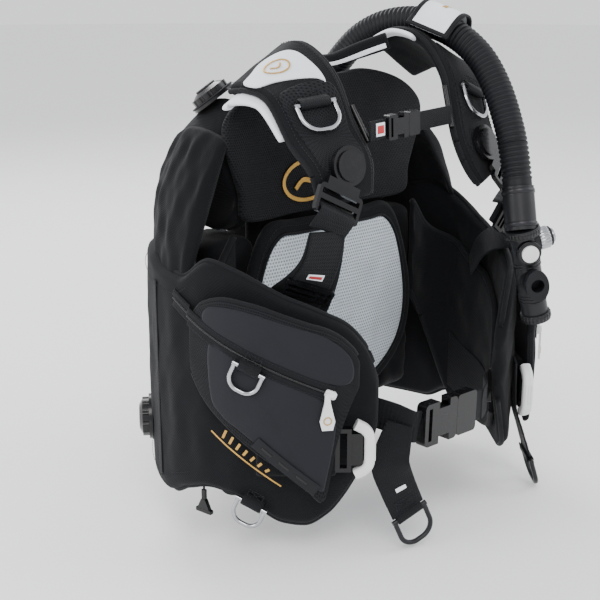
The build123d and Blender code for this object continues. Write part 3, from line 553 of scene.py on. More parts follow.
def blend_colours(tree, mask, a, b):
    """Colour a where the mask is 0 and colour b where it is 1."""
    n = tree.nodes.new("ShaderNodeMix")
    n.data_type = "RGBA"
    feed(tree, n.inputs[0], mask)
    feed(tree, n.inputs[6], a)
    feed(tree, n.inputs[7], b)
    return n.outputs[2]


def spread(tree, value, lo, hi, to_lo=0.0, to_hi=1.0):
    """The range lo to hi eased onto to_lo to to_hi, and held there beyond it."""
    n = tree.nodes.new("ShaderNodeMapRange")
    n.interpolation_type = "SMOOTHSTEP"
    feed(tree, n.inputs["Value"], value)
    n.inputs["From Min"].default_value, n.inputs["From Max"].default_value = lo, hi
    n.inputs["To Min"].default_value, n.inputs["To Max"].default_value = to_lo, to_hi
    return n.outputs["Result"]


def split(tree, vector):
    """A vector's three parts."""
    n = tree.nodes.new("ShaderNodeSeparateXYZ")
    tree.links.new(vector, n.inputs[0])
    return n.outputs


def cross_weave():
    """Plain weave: threads up where the product of two sines is positive, plus slub from noise."""
    tree, i, o = effect("Cross weave", "Threads", 700.0, ["Height", "Tone"])
    x, y, z = split(tree, i["Vector"])
    wide = calc(tree, "SINE", calc(tree, "MULTIPLY", x, calc(tree, "MULTIPLY", i["Threads"], 3.1416)))
    high = calc(tree, "SINE", calc(tree, "MULTIPLY", calc(tree, "ADD", y, z),
                                   calc(tree, "MULTIPLY", i["Threads"], 3.1416)))
    weave = calc(tree, "MULTIPLY_ADD", calc(tree, "MULTIPLY", wide, high), 0.5, 0.5)
    slub = noise(tree, i["Vector"], 900.0, 2.0)
    feed(tree, o["Height"], calc(tree, "MULTIPLY_ADD", slub, 0.5, weave))
    feed(tree, o["Tone"], calc(tree, "MULTIPLY_ADD", slub, 0.6, calc(tree, "MULTIPLY", weave, 0.4)))
    return tree


def rib_weave():
    """Webbing: chevron ribs, a sine across the width whose phase follows a triangle wave along the length."""
    tree, i, o = effect("Webbing rib", "Threads", 480.0, ["Height", "Tone"])
    x, y, z = split(tree, i["Vector"])
    zig = calc(tree, "PINGPONG", calc(tree, "MULTIPLY", x, i["Threads"]), 1.0)
    ribs = calc(tree, "ADD", calc(tree, "MULTIPLY", calc(tree, "ADD", y, z), i["Threads"]), zig)
    height = calc(tree, "ABSOLUTE", calc(tree, "SINE", calc(tree, "MULTIPLY", ribs, 3.1416)))
    feed(tree, o["Height"], height)
    feed(tree, o["Tone"], calc(tree, "MULTIPLY_ADD", noise(tree, i["Vector"], 350.0), 0.5,
                               calc(tree, "MULTIPLY", height, 0.5)))
    return tree


def air_mesh():
    """Spacer mesh: round holes in rows set half a step apart; distance to the nearest hole's centre."""
    tree, i, o = effect("Air mesh", "Cells", 260.0, ["Hole", "Height"])
    x, y, z = split(tree, i["Vector"])
    v = calc(tree, "MULTIPLY", calc(tree, "ADD", y, z), i["Cells"])
    row = calc(tree, "MULTIPLY", calc(tree, "MODULO", calc(tree, "FLOOR", v), 2.0), 0.5)
    u = calc(tree, "ADD", calc(tree, "MULTIPLY", x, i["Cells"]), row)
    du = calc(tree, "SUBTRACT", calc(tree, "FRACT", u), 0.5)
    dv = calc(tree, "SUBTRACT", calc(tree, "FRACT", v), 0.5)
    far = calc(tree, "SQRT", calc(tree, "ADD", calc(tree, "MULTIPLY", du, du),
                                  calc(tree, "MULTIPLY", dv, dv)))
    feed(tree, o["Hole"], spread(tree, far, 0.22, 0.38, 1.0, 0.0))
    feed(tree, o["Height"], spread(tree, far, 0.15, 0.48))
    return tree


def grain():
    """Moulded or rolled surface: fine noise for bump and slow noise for patches of wear and handling."""
    tree, i, o = effect("Grain", "Fine", 900.0, ["Height", "Patch"])
    feed(tree, o["Height"], noise(tree, i["Vector"], i["Fine"], 4.0, 0.6))
    feed(tree, o["Patch"], noise(tree, i["Vector"], 22.0, 5.0, 0.65))
    return tree


FINISHES = {}
EFFECTS = {}


def placed(tree, name, vector, value):
    """An effect group put into a material, built the first time that it is asked for."""
    makers = {"Cross weave": cross_weave, "Webbing rib": rib_weave, "Air mesh": air_mesh, "Grain": grain}
    if name not in EFFECTS:
        EFFECTS[name] = makers[name]()
    n = tree.nodes.new("ShaderNodeGroup")
    n.node_tree = EFFECTS[name]
    feed(tree, n.inputs[0], vector)
    n.inputs[1].default_value = value
    return n.outputs


def base_material(name, rough, metal=0.0, coat=0.0, sheen=0.0, specular=0.5):
    """A new material, its node tree and the inputs of its Principled shader."""
    m = bpy.data.materials.new(name)
    m.use_nodes = True
    tree = m.node_tree
    b = tree.nodes["Principled BSDF"].inputs
    b["Roughness"].default_value = rough
    b["Metallic"].default_value = metal
    b["Coat Weight"].default_value = coat
    b["Coat Roughness"].default_value = 0.12
    b["Sheen Weight"].default_value = sheen
    b["Specular IOR Level"].default_value = specular
    return m, tree, b


def surface_vector(tree, uv):
    """The cloth's own UV in metres, or Object coordinates on pieces without one."""
    if uv:
        n = tree.nodes.new("ShaderNodeUVMap")
        n.uv_map = "Cloth"
        return n.outputs[0]
    return tree.nodes.new("ShaderNodeTexCoord").outputs["Object"]


def bump(tree, b, height, distance):
    """Height in metres as bump on the shader's normal."""
    n = tree.nodes.new("ShaderNodeBump")
    n.inputs["Strength"].default_value = 1.0
    n.inputs["Distance"].default_value = distance
    feed(tree, n.inputs["Height"], height)
    tree.links.new(n.outputs[0], b["Normal"])


def shade(colour, k):
    """A colour made k times as light, up to white."""
    return tuple(min(1.0, c * k) for c in colour[:3]) + (1.0,)


def woven_finish(name, colour, kind="Cross weave", threads=700.0, rough=0.8, sheen=0.05, depth=0.00035,
                 contrast=0.45):
    """Cloth or webbing: weave height as bump, thread tone and slow soiling in the colour and roughness."""
    m, tree, b = base_material(name, rough, sheen=sheen, specular=0.12)
    vector = surface_vector(tree, True)
    weave = placed(tree, kind, vector, threads)
    patch = placed(tree, "Grain", tree.nodes.new("ShaderNodeTexCoord").outputs["Object"], 400.0)
    tone = blend_colours(tree, weave["Tone"], shade(colour, 1 - contrast), shade(colour, 1 + contrast))
    soil = spread(tree, patch["Patch"], 0.35, 0.75, 0.0, 0.35)
    feed(tree, b["Base Color"], blend_colours(tree, soil, tone, shade(colour, 1.5)))
    feed(tree, b["Roughness"], spread(tree, patch["Patch"], 0.2, 0.8, rough - 0.08, min(1.0, rough + 0.1)))
    bump(tree, b, weave["Height"], depth)
    return m


def mesh_finish(name, thread, painted_hole_shade, cells=260.0, rough=0.75, depth=0.0006):
    """Spacer mesh: thread colour round open holes, which are filled with a darker colour: painted shade that
    stands for the layer beneath.
    """
    m, tree, b = base_material(name, rough, sheen=0.03, specular=0.15)
    net = placed(tree, "Air mesh", surface_vector(tree, True), cells)
    patch = placed(tree, "Grain", tree.nodes.new("ShaderNodeTexCoord").outputs["Object"], 600.0)
    top = blend_colours(tree, spread(tree, patch["Patch"], 0.3, 0.7, 0.0, 1.0), shade(thread, 0.86), thread)
    # the holes take the darker colour, painted shade in the hollows of the mesh
    feed(tree, b["Base Color"], blend_colours(tree, net["Hole"], top, painted_hole_shade))
    bump(tree, b, net["Height"], depth)
    return m


def moulded_finish(name, colour, rough, coat=0.0, metal=0.0, fine=900.0, depth=0.00012, contrast=0.15,
                   specular=0.5):
    """Plastic, rubber or metal: fine grain as bump and slow patches of wear in the colour and roughness."""
    m, tree, b = base_material(name, rough, metal=metal, coat=coat, specular=specular)
    g = placed(tree, "Grain", surface_vector(tree, False), fine)
    worn_patch = spread(tree, g["Patch"], 0.3, 0.75)
    feed(tree, b["Base Color"], blend_colours(tree, worn_patch, shade(colour, 1 - contrast),
                                              shade(colour, 1 + contrast)))
    feed(tree, b["Roughness"], spread(tree, g["Patch"], 0.25, 0.8, max(0.05, rough - 0.07), rough + 0.1))
    bump(tree, b, g["Height"], depth)
    return m


def finish(name):
    """The named finish, made once from the colours in the Vest panel."""
    if name in FINISHES:
        return FINISHES[name]
    c = bpy.context.scene.vest_colours
    makers = {
        "cloth": lambda: woven_finish("Black woven nylon", c.cloth, threads=620.0),
        "smooth": lambda: woven_finish("Smooth side cloth", c.side_cloth, threads=1500.0, rough=0.62,
                                       sheen=0.06,
                                       depth=0.00012, contrast=0.2),
        # the near-black second colour is painted shade in the holes of the pocket mesh
        "net": lambda: mesh_finish("Black pocket mesh", shade(c.cloth, 1.9), (0.0015, 0.0015, 0.002, 1),
                                   cells=330.0),
        "panel": lambda: woven_finish("White panel cloth", c.panel, threads=900.0, rough=0.6, sheen=0.05,
                                      depth=0.00012, contrast=0.06),
        # the second colour, the mesh colour at 0.42, is painted shade in the holes of the back mesh
        "mesh": lambda: mesh_finish("White spacer mesh", c.mesh, shade(c.mesh, 0.42), cells=240.0),
        "webbing": lambda: woven_finish("Black webbing", shade(c.cloth, 1.25), kind="Webbing rib",
                                        threads=420.0,
                                        rough=0.5, sheen=0.03, depth=0.00045),
        "binding": lambda: woven_finish("Edge binding", shade(c.cloth, 1.15), kind="Webbing rib",
                                        threads=800.0,
                                        rough=0.6, depth=0.0002),
        "thread": lambda: moulded_finish("Dark thread", shade(c.cloth, 3.4), 0.7, depth=0.00005,
                                         specular=0.2),
        "gold": lambda: moulded_finish("Gold print", c.gold, 0.38, metal=0.55, fine=1600.0, depth=0.00004,
                                       contrast=0.2),
        "steel": lambda: moulded_finish("Polished steel", (0.40, 0.41, 0.43, 1), 0.22, metal=1.0, fine=260.0,
                                        depth=0.00003, contrast=0.08),
        "steel_black": lambda: moulded_finish("Blackened steel", (0.022, 0.022, 0.025, 1), 0.34, metal=0.6,
                                              fine=400.0, depth=0.00005),
        "rubber": lambda: moulded_finish("Hose rubber", c.rubber, 0.5, fine=1100.0, depth=0.0001,
                                         specular=0.22),
        "grey_plastic": lambda: moulded_finish("Dark grey plastic", c.housing, 0.36, coat=0.06, specular=0.3),
        "black_plastic": lambda: moulded_finish("Gloss black plastic", (0.0045, 0.0046, 0.0054, 1), 0.24,
                                                coat=0.1,
                                                contrast=0.3, depth=0.00006, specular=0.3),
        "white_plastic": lambda: moulded_finish("Light grey plastic", c.light_plastic, 0.34, coat=0.2,
                                                contrast=0.05),
        "red": lambda: moulded_finish("Red label cloth", (0.42, 0.02, 0.025, 1), 0.6),
    }
    FINISHES[name] = makers[name]()
    return FINISHES[name]


# ---------------------------------------------------------------- sizes and colours in the panel
def length(name, description, value):
    """A length in metres, shown in the panel."""
    return bpy.props.FloatProperty(name=name, description=description, default=value, unit="LENGTH")


def colour(name, description, value):
    """A colour with its opacity, shown in the panel."""
    return bpy.props.FloatVectorProperty(name=name, description=description, subtype="COLOR", size=4,
                                         min=0, max=1, default=value)


class VestSizes(bpy.types.PropertyGroup):
    """Sizes that a maker would change without changing the solid frame."""
    hose_pitch: length("Hose ring pitch", "Distance from one hose ring to the next", 0.0058)
    hose_depth: length("Hose groove", "Depth of the grooves between hose rings", 0.0017)
    lobe_puff: length("Lobe fullness", "How far the air cells stand out", 0.003)
    crease: length("Crease height", "Height of the soft folds in the cloth", 0.0016)
    stitch: length("Stitch pitch", "Distance from one stitch to the next on the zips", 0.0042)
    zip_pitch: length("Zip pitch", "Distance from one zip tooth to the next", 0.0026)


class VestColours(bpy.types.PropertyGroup):
    """Colours of the cloths, plastics and prints."""
    cloth: colour("Black cloth", "Woven nylon of the lobes and straps", (0.0050, 0.0054, 0.0066, 1))
    side_cloth: colour("Side cloth", "Smooth cloth below the pocket zip", (0.0125, 0.0132, 0.0168, 1))
    panel: colour("Panel", "Pale cloth of the shoulder panels", (0.74, 0.77, 0.81, 1))
    mesh: colour("Back mesh", "Spacer mesh on the back pad", (0.62, 0.68, 0.74, 1))
    gold: colour("Gold", "Printed and embroidered marks", (0.50, 0.29, 0.065, 1))
    rubber: colour("Hose rubber", "Corrugated hose", (0.0068, 0.0073, 0.0092, 1))
    housing: colour("Inflator housing", "Plastic of the inflator", (0.0075, 0.0078, 0.0095, 1))
    light_plastic: colour("Light plastic", "Weight pouch handles and zip tags", (0.72, 0.73, 0.72, 1))


# ---------------------------------------------------------------- camera and hose
class VEST_OT_view(bpy.types.Operator):
    """Camera on the wearer's right front, a little above the chest"""
    bl_idname = "vest.view"
    bl_label = "Camera"

    def execute(self, context):
        data = bpy.data.cameras.new("View")
        data.lens, data.sensor_width = 68.8, 36.0
        camera = bpy.data.objects.new("View", data)
        context.scene.collection.objects.link(camera)
        camera.location = (-1.008, -1.139, 0.380)
        aim = Vector((0.034, -0.060, -0.050)) - camera.location
        camera.rotation_euler = aim.to_track_quat("-Z", "Y").to_euler()
        context.scene.camera = camera
        return {"FINISHED"}


def hose_line():
    """The hose's smooth centre line: a NURBS spline of order 3 on the route's points, in mm."""
    curve = bpy.data.curves.new("hose_line", "CURVE")
    curve.dimensions = "3D"
    curve.resolution_u = 24
    spline = curve.splines.new("NURBS")
    spline.points.add(len(HOSE_ROUTE) - 1)
    flat = np.hstack([np.array(HOSE_ROUTE, float) * MM, np.ones((len(HOSE_ROUTE), 1))])
    spline.points.foreach_set("co", flat.ravel())
    spline.order_u = 3
    spline.use_endpoint_u = True
    holder = bpy.data.objects.new("hose_line", curve)
    mesh = bpy.data.meshes.new_from_object(holder)
    line = np.empty(len(mesh.vertices) * 3)
    mesh.vertices.foreach_get("co", line)
    bpy.data.objects.remove(holder)
    bpy.data.curves.remove(curve)
    bpy.data.meshes.remove(mesh)
    return line.reshape(-1, 3) / MM


def even(line, step):
    """The same line with points evenly spaced along it."""
    run = np.concatenate([[0], np.cumsum(np.linalg.norm(np.diff(line, axis=0), axis=1))])
    s = np.linspace(0, run[-1], max(2, int(run[-1] / step)))
    return np.stack([np.interp(s, run, line[:, c]) for c in range(3)], -1), s


def flap_arch():
    """Stations of the flap over the hose, as a strap."""
    a, b = np.array(HOSE_ROUTE[4], float), np.array(HOSE_ROUTE[5], float)
    run = unit(b - a)
    side = unit(np.array([1.0, 0, 0]) - run * run[0])
    rise = np.cross(side, run)
    rise = rise if rise[2] > 0 else -rise
    arch = [(-36, -1.5), (-27, 6.5), (-17.5, 16.5), (-6, 23.2), (6, 23.2), (17.5, 16.5), (24, 2), (25.5, -12),
            (25, -26)]
    centres = [tuple((a + b) / 2 + side * u + rise * v) for u, v in arch]
    return dict(centres=centres, across=[tuple(run)] * len(arch), widths=[60] * len(arch))


class VEST_OT_hose(bpy.types.Operator):
    """Corrugated inflator hose and the flap that holds it on the shoulder"""
    bl_idname = "vest.hose"
    bl_label = "Inflator hose"

    def execute(self, context):
        sizes = context.scene.vest_sizes
        line = hose_line()
        path, s = even(line, 0.72)
        pitch, depth = sizes.hose_pitch / MM, sizes.hose_depth / MM
        ripple = np.clip(0.62 + np.cos(2 * np.pi * s / pitch), 0, 1.25) / 1.25
        radius = HOSE_RADIUS - depth * (1 - ripple ** 0.6)
        ends = np.minimum(s, s[-1] - s) < 8
        radius[ends] = HOSE_CUFF
        hose = worn(tube("inflator_hose_ribbed", path, radius, finish("rubber"), around=40), "vest", "rubber",
                    "inflator_hose")
        arch = flap_arch()
        flap = strap_shell("hose_flap_panel", arch, 2.6, finish("panel"), share=(-0.82, 0.82), nu=60,
                           lift=0.3)
        worn(flap, "vest", "panel", "hose_flap")
        for k, share in enumerate(((-1, -0.76), (0.76, 1))):
            edge = strap_shell(f"hose_flap_edge_{k}", arch, 3.4, finish("binding"), share=share, nu=60,
                               lift=0.3)
            worn(edge, "vest", "webbing")
        for k, (a, b) in enumerate(((0, 0.5), (7.3, 8))):
            edge = strap_shell(f"hose_flap_end_{k}", arch, 3.3, finish("binding"), span=(a, b), nu=16,
                               lift=0.35,
                               share=(-0.96, 0.96))
            worn(edge, "vest", "webbing")
        mark = strap_shell("hose_flap_mark", arch, 0.5, finish("gold"), span=(3.1, 5.4), share=(-0.1, 0.1),
                           lift=1.9, nu=24)
        worn(mark, "vest", "panel")
        return {"FINISHED"}


# ---------------------------------------------------------------- back
def post_shell(name, plan, z0, z1, material, radius=16.0, fold=0.0, seed=1, n=90, rings=46):
    """Upright pad: a rounded plan carried from z0 to z1, shrunk towards its centre by a quarter circle at
    each end."""
    edge = rounded_outline(plan, n)
    centre = edge.mean(0)
    u = eased(rings, radius / ((z1 - z0) / 2))
    k = end_round(u, radius / ((z1 - z0) / 2))
    size = np.linalg.norm(edge - centre, axis=1).mean()
    scale = 1 - radius / size * (1 - k)
    z = (z0 + z1) / 2 + u * (z1 - z0) / 2
    arc = np.linspace(0, 4 * size, n)
    push = creases(z[:, None], arc[None], fold, seed) * k[:, None]
    rel = (edge - centre)[None] * scale[:, None, None]
    rel = rel * (1 + push[..., None] / size)
    grid = np.concatenate([rel + centre, np.broadcast_to(z[:, None, None], rel.shape[:2] + (1,))], -1)
    caps = [np.broadcast_to([*centre, z[i]], grid[:1].shape) for i in (0, -1)]
    return grid_object(name, np.concatenate([caps[0], grid, caps[1]]), material, wrap=True)


BLADDER_HALF = [(0, 248), (60, 253), (98, 240), (110, 200), (110, 40), (110, -172), (60, -192), (0, -187)]
WING_PLAN = [(114, -132), (113, -84), (116, -46), (134, -52), (160, -78), (180, -106), (172, -131),
             (142, -133)]
SHOULDER = [(116, 84), (134, 81), (148, 86), (145, 118), (162, 150), (174, 178), (168, 196), (136, 222),
            (116, 232), (114, 160)]
YOKE_HALF = [(0, 260), (60, 264), (124, 249), (164, 222), (169, 192), (149, 134), (139, 98), (60, 97),
             (0, 97)]
PAD_HALF = [(0, 89), (60, 90), (106, 88), (135, 40), (154, -40), (140, -107), (91, -152), (34, -166),
            (0, -167)]


class VEST_OT_bladder(bpy.types.Operator):
    """Rear air cell: a flat centre, a lobe beside the tank and one over each shoulder"""
    bl_idname = "vest.bladder"
    bl_label = "Rear bladder"

    def execute(self, context):
        puff = context.scene.vest_sizes.crease / MM
        centre = pad_shell("bladder_centre", mirror_half(BLADDER_HALF), (0, 25), -135, -108, finish("cloth"),
                           radius=12, fold=puff, seed=3)
        worn(centre, "vest", "woven", "back_bladder", fill=0.5)
        for label, sign in (("right", -1), ("left", 1)):
            plan = [(x * sign, y) for x, y in WING_PLAN]
            wing = post_shell(f"bladder_{label}_side", plan, -184, 74, finish("cloth"), fold=puff * 1.3,
                              seed=11 + sign)
            worn(wing, "vest", "woven", fill=0.6)
            outline = [(x * sign, z) for x, z in SHOULDER]
            lobe = pad_shell(f"bladder_{label}_shoulder", outline, (140 * sign, 165), -134, -50,
                             finish("cloth"),
                             radius=18, fold=puff, seed=5 + sign)
            worn(lobe, "vest", "woven", fill=0.6)
            rows = lobe_rows(sign)
            theta = np.linspace(-47, 1, 60)
            low = wall_points(theta, 12.0, steps(rows[:, 0], rows[:, 4], theta) - 16, sign)
            t = np.linspace(0, 1, 60)
            bow = np.sin(np.pi * t)
            high = np.stack([(-163 - 9 * bow) * -sign, -58 - 90 * t, 196 + 12 * bow], -1)
            panel = soft_panel(f"{label}_side_panel", low, high, 9.0, 12.0, finish("cloth"), fold=puff * 1.6,
                               seed=17 + sign)
            worn(panel, "vest", "woven", fill=0.4)
        return {"FINISHED"}


def ring_on_pad(name, centre, half_w, half_h, wide, y, material):
    """Oval ring printed or sewn on a pad that faces -Y, slightly proud of it."""
    a = np.linspace(0, 2 * np.pi, 73)[:-1]
    path = np.stack([centre[0] + half_w * np.cos(a), np.full_like(a, y), centre[1] + half_h * np.sin(a)], -1)
    path = closed_line(path)
    return tape(name, path, facing(path), wide, 1.1, material)


def pad_line(half, scale, y):
    """Closed line on the back pad: an outline made larger or smaller about the pad's middle."""
    line = closed_line(rounded_outline(mirror_half(half), 260))
    return np.stack([line[:, 0] * scale, np.full(len(line), y),
                     (line[:, 1] - PAD_MID_Z) * scale + PAD_MID_Z], -1)


class VEST_OT_back(bpy.types.Operator):
    """Yoke, mesh covered back pad and neck collar, with their bindings and the emblem"""
    bl_idname = "vest.back"
    bl_label = "Back pads and collar"

    def execute(self, context):
        crease = context.scene.vest_sizes.crease / MM
        yoke = pad_shell("yoke_cushion", mirror_half(YOKE_HALF), (0, 180), -152, -140, finish("net"),
                         radius=5.5,
                         crown=1.6, fold=crease * 0.5, seed=21)
        worn(yoke, "vest", "mesh", "yoke_pad", fill=0.4)
        border = pad_shell("back_pad_cushion", mirror_half(PAD_HALF), (0, PAD_MID_Z), -156, -140,
                           finish("cloth"),
                           radius=7, crown=0.6, fold=crease * 0.4, seed=22)
        worn(border, "vest", "woven", "back_pad", fill=0.5)
        inner = [(0, 72), (60, 73), (94, 71), (119, 36), (135, -40), (122, -98), (80, -136), (30, -148),
                 (0, -149)]
        net = pad_shell("back_pad_mesh", mirror_half(inner), (0, PAD_MID_Z), -158.4, -152, finish("mesh"),
                        radius=5,
                        crown=4.2, fold=crease * 0.6, seed=23, rings=34)
        worn(net, "vest", "mesh", fill=0.5)
        bound("back_pad_piping", pad_line(inner, 1.012, -157.6), 1.7)
        stitch = pad_line(PAD_HALF, 0.95, -156.9)
        sewn("back_pad_stitches", stitch, facing(stitch))
        ring = ring_on_pad("emblem_ring", (-45, 137), 39, 24, 5.0, -155.0, finish("gold"))
        worn(ring, "vest", "panel")
        t = np.linspace(0, 1, 30)
        wave = np.stack([-45 - 20 + 40 * t, np.full(30, -155.2), 137 - 9 + 18 * (3 * t ** 2 - 2 * t ** 3)
                         + 6 * np.sin(2 * np.pi * t)], -1)
        worn(tape("emblem_wave", wave, facing(wave), 6.0, 1.1, finish("gold")), "vest", "panel")
        plan = np.array([(-62, -150), (-30, -141), (8, -141), (44, -152), (70, -178)], float)
        low, high = np.array([270, 268, 268, 276, 288.0]), np.array([292, 286, 284, 296, 309.0])
        collar = dict(centres=[(x, y, (a + b) / 2) for (x, y), a, b in zip(plan, low, high)],
                      across=[(0, 0, 1)] * 5, widths=list(high - low))
        roll = strap_shell("collar_roll", collar, 12.5, finish("cloth"), nu=80, fold=crease * 0.5, seed=31)
        worn(roll, "vest", "woven", "neck_collar", fill=0.6)
        stripe = strap_shell("collar_stripe", collar, 1.6, finish("panel"), share=(-0.72, -0.15),
                             lift=6.6, nu=60,
                             span=(0.1, 3.9))
        worn(stripe, "vest", "panel")
        return {"FINISHED"}


def soft_panel(name, bottom, top, thick, bulge, material, fold=0.0, seed=1, rows=40):
    """Padded panel between two lines: straight across, bowed outwards by a half sine, thickened along its
    normals and closed by a rounded rim."""
    v = np.linspace(0, 1, rows)[:, None, None]
    mid = (1 - v) * bottom[None] + v * top[None]
    du, dv = np.gradient(mid, axis=1), np.gradient(mid, axis=0)
    out = unit(np.cross(du, dv))
    outward = np.sign((out * (mid - np.array([0, -120, 0]))).sum(2).mean())
    out = out * outward
    u = np.linspace(0, 1, bottom.shape[0])[None, :, None]
    swell_out = np.sin(np.pi * v) * bulge + creases(u[..., 0] * 160, v[..., 0] * 140, fold, seed)[..., None]
    rim = np.clip(np.minimum(np.minimum(u, 1 - u) * 14, np.minimum(v, 1 - v) * 14), 0, 1)
    half = thick / 2 * np.sqrt(1 - (1 - rim) ** 2)
    front = mid + out * (swell_out * rim + half)
    back = mid + out * (swell_out * rim - half)
    return grid_object(name, np.concatenate([front, back[::-1]]), material)


# ---------------------------------------------------------------- waist
def plan_shell(name, rows, side, material, nu=90, radius=3.0, puff=0.0, fold=0.0, seed=1, faces=24):
    """Standing flap: outer and inner plan points, low and high z at each station, with a rounded section."""
    rows = np.asarray(rows, float)
    last = len(rows) - 1
    u = eased(nu, 0.02)
    r = through(rows, np.clip((u + 1) / 2 * last, 0, last))
    outer, inner, low, high = r[:, None, 0:2], r[:, None, 2:4], r[:, 4:5], r[:, 5:6]
    w, c, s = section(faces, 6)
    half = (high - low) / 2
    share = np.minimum(radius / half, 0.5)
    k = end_round(u, 0.02)[:, None]
    z = (high + low) / 2 + half * (c * (1 - share) + share * s)
    across = unit(outer - inner)
    thick = np.linalg.norm(outer - inner, axis=2)
    push = (puff + creases(np.linspace(0, 260, nu)[:, None], z, fold, seed)) * (1 - c ** 4) * (1 - s ** 2) * k
    place_w = w * k * thick / 2 + np.where(w > 0, 1, -1) * push
    xy = (outer + inner) / 2 + across * place_w[..., None]
    grid = np.concatenate([xy, np.broadcast_to(z, xy.shape[:2])[..., None]], -1)
    grid[..., 0] = np.where(side > 0, -grid[..., 0], grid[..., 0])
    return grid_object(name, grid, material, wrap=True)


def patch(name, outline, surface, thick, material, n=120, rings=14, crown=0.0):
    """Sewn-on piece: rings from an outline's centre to its rim, laid on a surface, with a turned-down rim."""
    edge = rounded_outline(outline, n)
    centre = edge.mean(0)
    r = np.concatenate([np.linspace(0, 0.97, rings), [1.0, 1.0]])
    lift = np.concatenate([np.full(rings, thick), [thick * 0.6, -0.6]])
    a = centre[0] + (edge[None, :, 0] - centre[0]) * r[:, None]
    b = centre[1] + (edge[None, :, 1] - centre[1]) * r[:, None]
    p, out = surface(a, b)
    back_p, back_out = surface(np.full_like(a[:1], centre[0]), np.full_like(b[:1], centre[1]))
    rise = lift[:, None] + crown * (1 - r[:, None] ** 2)
    grid = np.concatenate([p + out * rise[..., None], back_p - back_out * 0.6])
    return grid_object(name, grid, material, wrap=True, uv=arc_uv(grid))


def on_wall(side, inset):
    """Surface function of a wall: angle and z to points and outward directions; inset is a function of the
    angle."""
    def surface(theta, z):
        i = inset(theta)
        p = wall_points(theta, i, z, side)
        q = wall_points(theta, i - 1.0, z, side)
        return p, q - p
    return surface


def on_strap(strap, lift):
    """Surface function of a strap: station and share of the half width to points and outward directions."""
    def surface(t, share):
        shape = np.shape(t)
        centre, side, face, width = strap_frames(strap, np.clip(np.ravel(t), 0, len(strap["centres"]) - 1))
        p = centre + side * (np.ravel(share) * width / 2)[:, None] + face * lift
        return p.reshape(shape + (3,)), face.reshape(shape + (3,))
    return surface


def lobe_rows(side):
    """The lobe's columns. Its inner face moves in by a fifth of what the outer one does, so the wall is thinner
    under the pocket. The left lobe has a top line of its own."""
    rows = np.insert(LOBE, 2, LOBE_THICK + LOBE[:, 1] / 5, axis=1)
    if side > 0:
        rows[:, 4] = LEFT_TOP
    return rows


def edge_line(rows, column, shift, t0, t1, side, n=160):
    """A line along a wall's top or bottom edge, in the middle of its thickness."""
    theta = np.linspace(t0, t1, n)
    outer, inner, z = [steps(rows[:, 0], rows[:, c], theta) for c in (1, 2, column)]
    return wall_points(theta, (outer + inner) / 2, z + shift, side)


SIDES = (("right", -1), ("left", 1))


class VEST_OT_lobes(bpy.types.Operator):
    """Waist lobes: the air cells that wrap from beside the tank to the front, with bound edges"""
    bl_idname = "vest.lobes"
    bl_label = "Waist lobes"

    def execute(self, context):
        sizes = context.scene.vest_sizes
        puff, crease = sizes.lobe_puff / MM, sizes.crease / MM
        for label, side in SIDES:
            rows = lobe_rows(side)
            lobe = wall_shell(f"{label}_lobe_cell", rows, side, finish("cloth"), nu=150, radius=9.0,
                              puff=puff * 0.5, fold=crease, seed=40 + side, faces=34)
            worn(lobe, "vest", "woven", f"{label}_lobe", fill=0.5)
            for part, column, shift in (("top", 4, 0.2), ("hem", 3, -0.2)):
                line = edge_line(rows, column, shift, -50, 64, side)
                bound(f"{label}_lobe_{part}_binding", line, 3.4, around=10)
            theta = np.linspace(-48, 4, 90)
            inset = steps(rows[:, 0], rows[:, 1], theta) - puff * 0.5 - 0.8
            low, high = [steps(rows[:, 0], rows[:, c], theta) for c in (3, 4)]
            for k, share in enumerate((0.08, 0.93)):
                p, out = wall_line(theta, low + (high - low) * share, inset, side)
                sewn(f"{label}_lobe_seam_{k}", p, out)
            seam, out = wall_line(np.full(60, -14.0), np.linspace(-200, 40, 60),
                                  np.full(60, -puff * 0.5 - 0.6), side)
            worn(tape(f"{label}_lobe_side_seam", seam, out, 9, 1.6, finish("binding")), "vest", "webbing")
        return {"FINISHED"}


def lining_rows(side):
    """Plan of the inner flap, worked on the wearer's right; the left one is mirrored after its swell."""
    rows = [(-158, -144, -158, -152, -40, 84), (-190, -148, -186, -156, -95, 44)]
    for theta, low, high in ((8, -196, 24), (20, -206, 4), (32, -212, -8), (44, -202, -40), (54, -168, -92)):
        s = swell(theta, LEFT_OUT) if side > 0 else 0
        rows.append((*oval(theta, 33.5 - s), *oval(theta, 41.5 - s), low, high))
    return np.array(rows, float)


class VEST_OT_linings(bpy.types.Operator):
    """Inner waist flaps in black woven nylon, each with a mesh band near its lower front"""
    bl_idname = "vest.linings"
    bl_label = "Inner flaps"

    def execute(self, context):
        crease = context.scene.vest_sizes.crease / MM
        for label, side in SIDES:
            rows = lining_rows(side)
            flap = plan_shell(f"{label}_lining_flap", rows, side, finish("cloth"), fold=crease * 0.9,
                              seed=50 + side, radius=4.0)
            worn(flap, "vest", "panel", f"{label}_lining", fill=0.3)
            line = through(rows, np.linspace(0.02, 5.98, 150))
            for part, z in (("top", line[:, 5]), ("hem", line[:, 4])):
                p = np.stack([(line[:, 0] + line[:, 2]) / 2 * -side, (line[:, 1] + line[:, 3]) / 2, z], -1)
                bound(f"{label}_lining_{part}_binding", p, 4.3)
            band = rows[2:].copy()
            band[:, 0:2] = rows[2:, 2:4] + (rows[2:, 0:2] - rows[2:, 2:4]) * 0.1
            band[:, 2:4] = rows[2:, 2:4] + (rows[2:, 2:4] - rows[2:, 0:2]) * 0.16
            band[:, 5] = band[:, 4] + (rows[2:, 5] - rows[2:, 4]) * 0.42
            band[:, 4] += 12
            net = plan_shell(f"{label}_lining_mesh", band, side, finish("net"), radius=1.0, nu=60, seed=55)
            worn(net, "vest", "mesh")
        return {"FINISHED"}


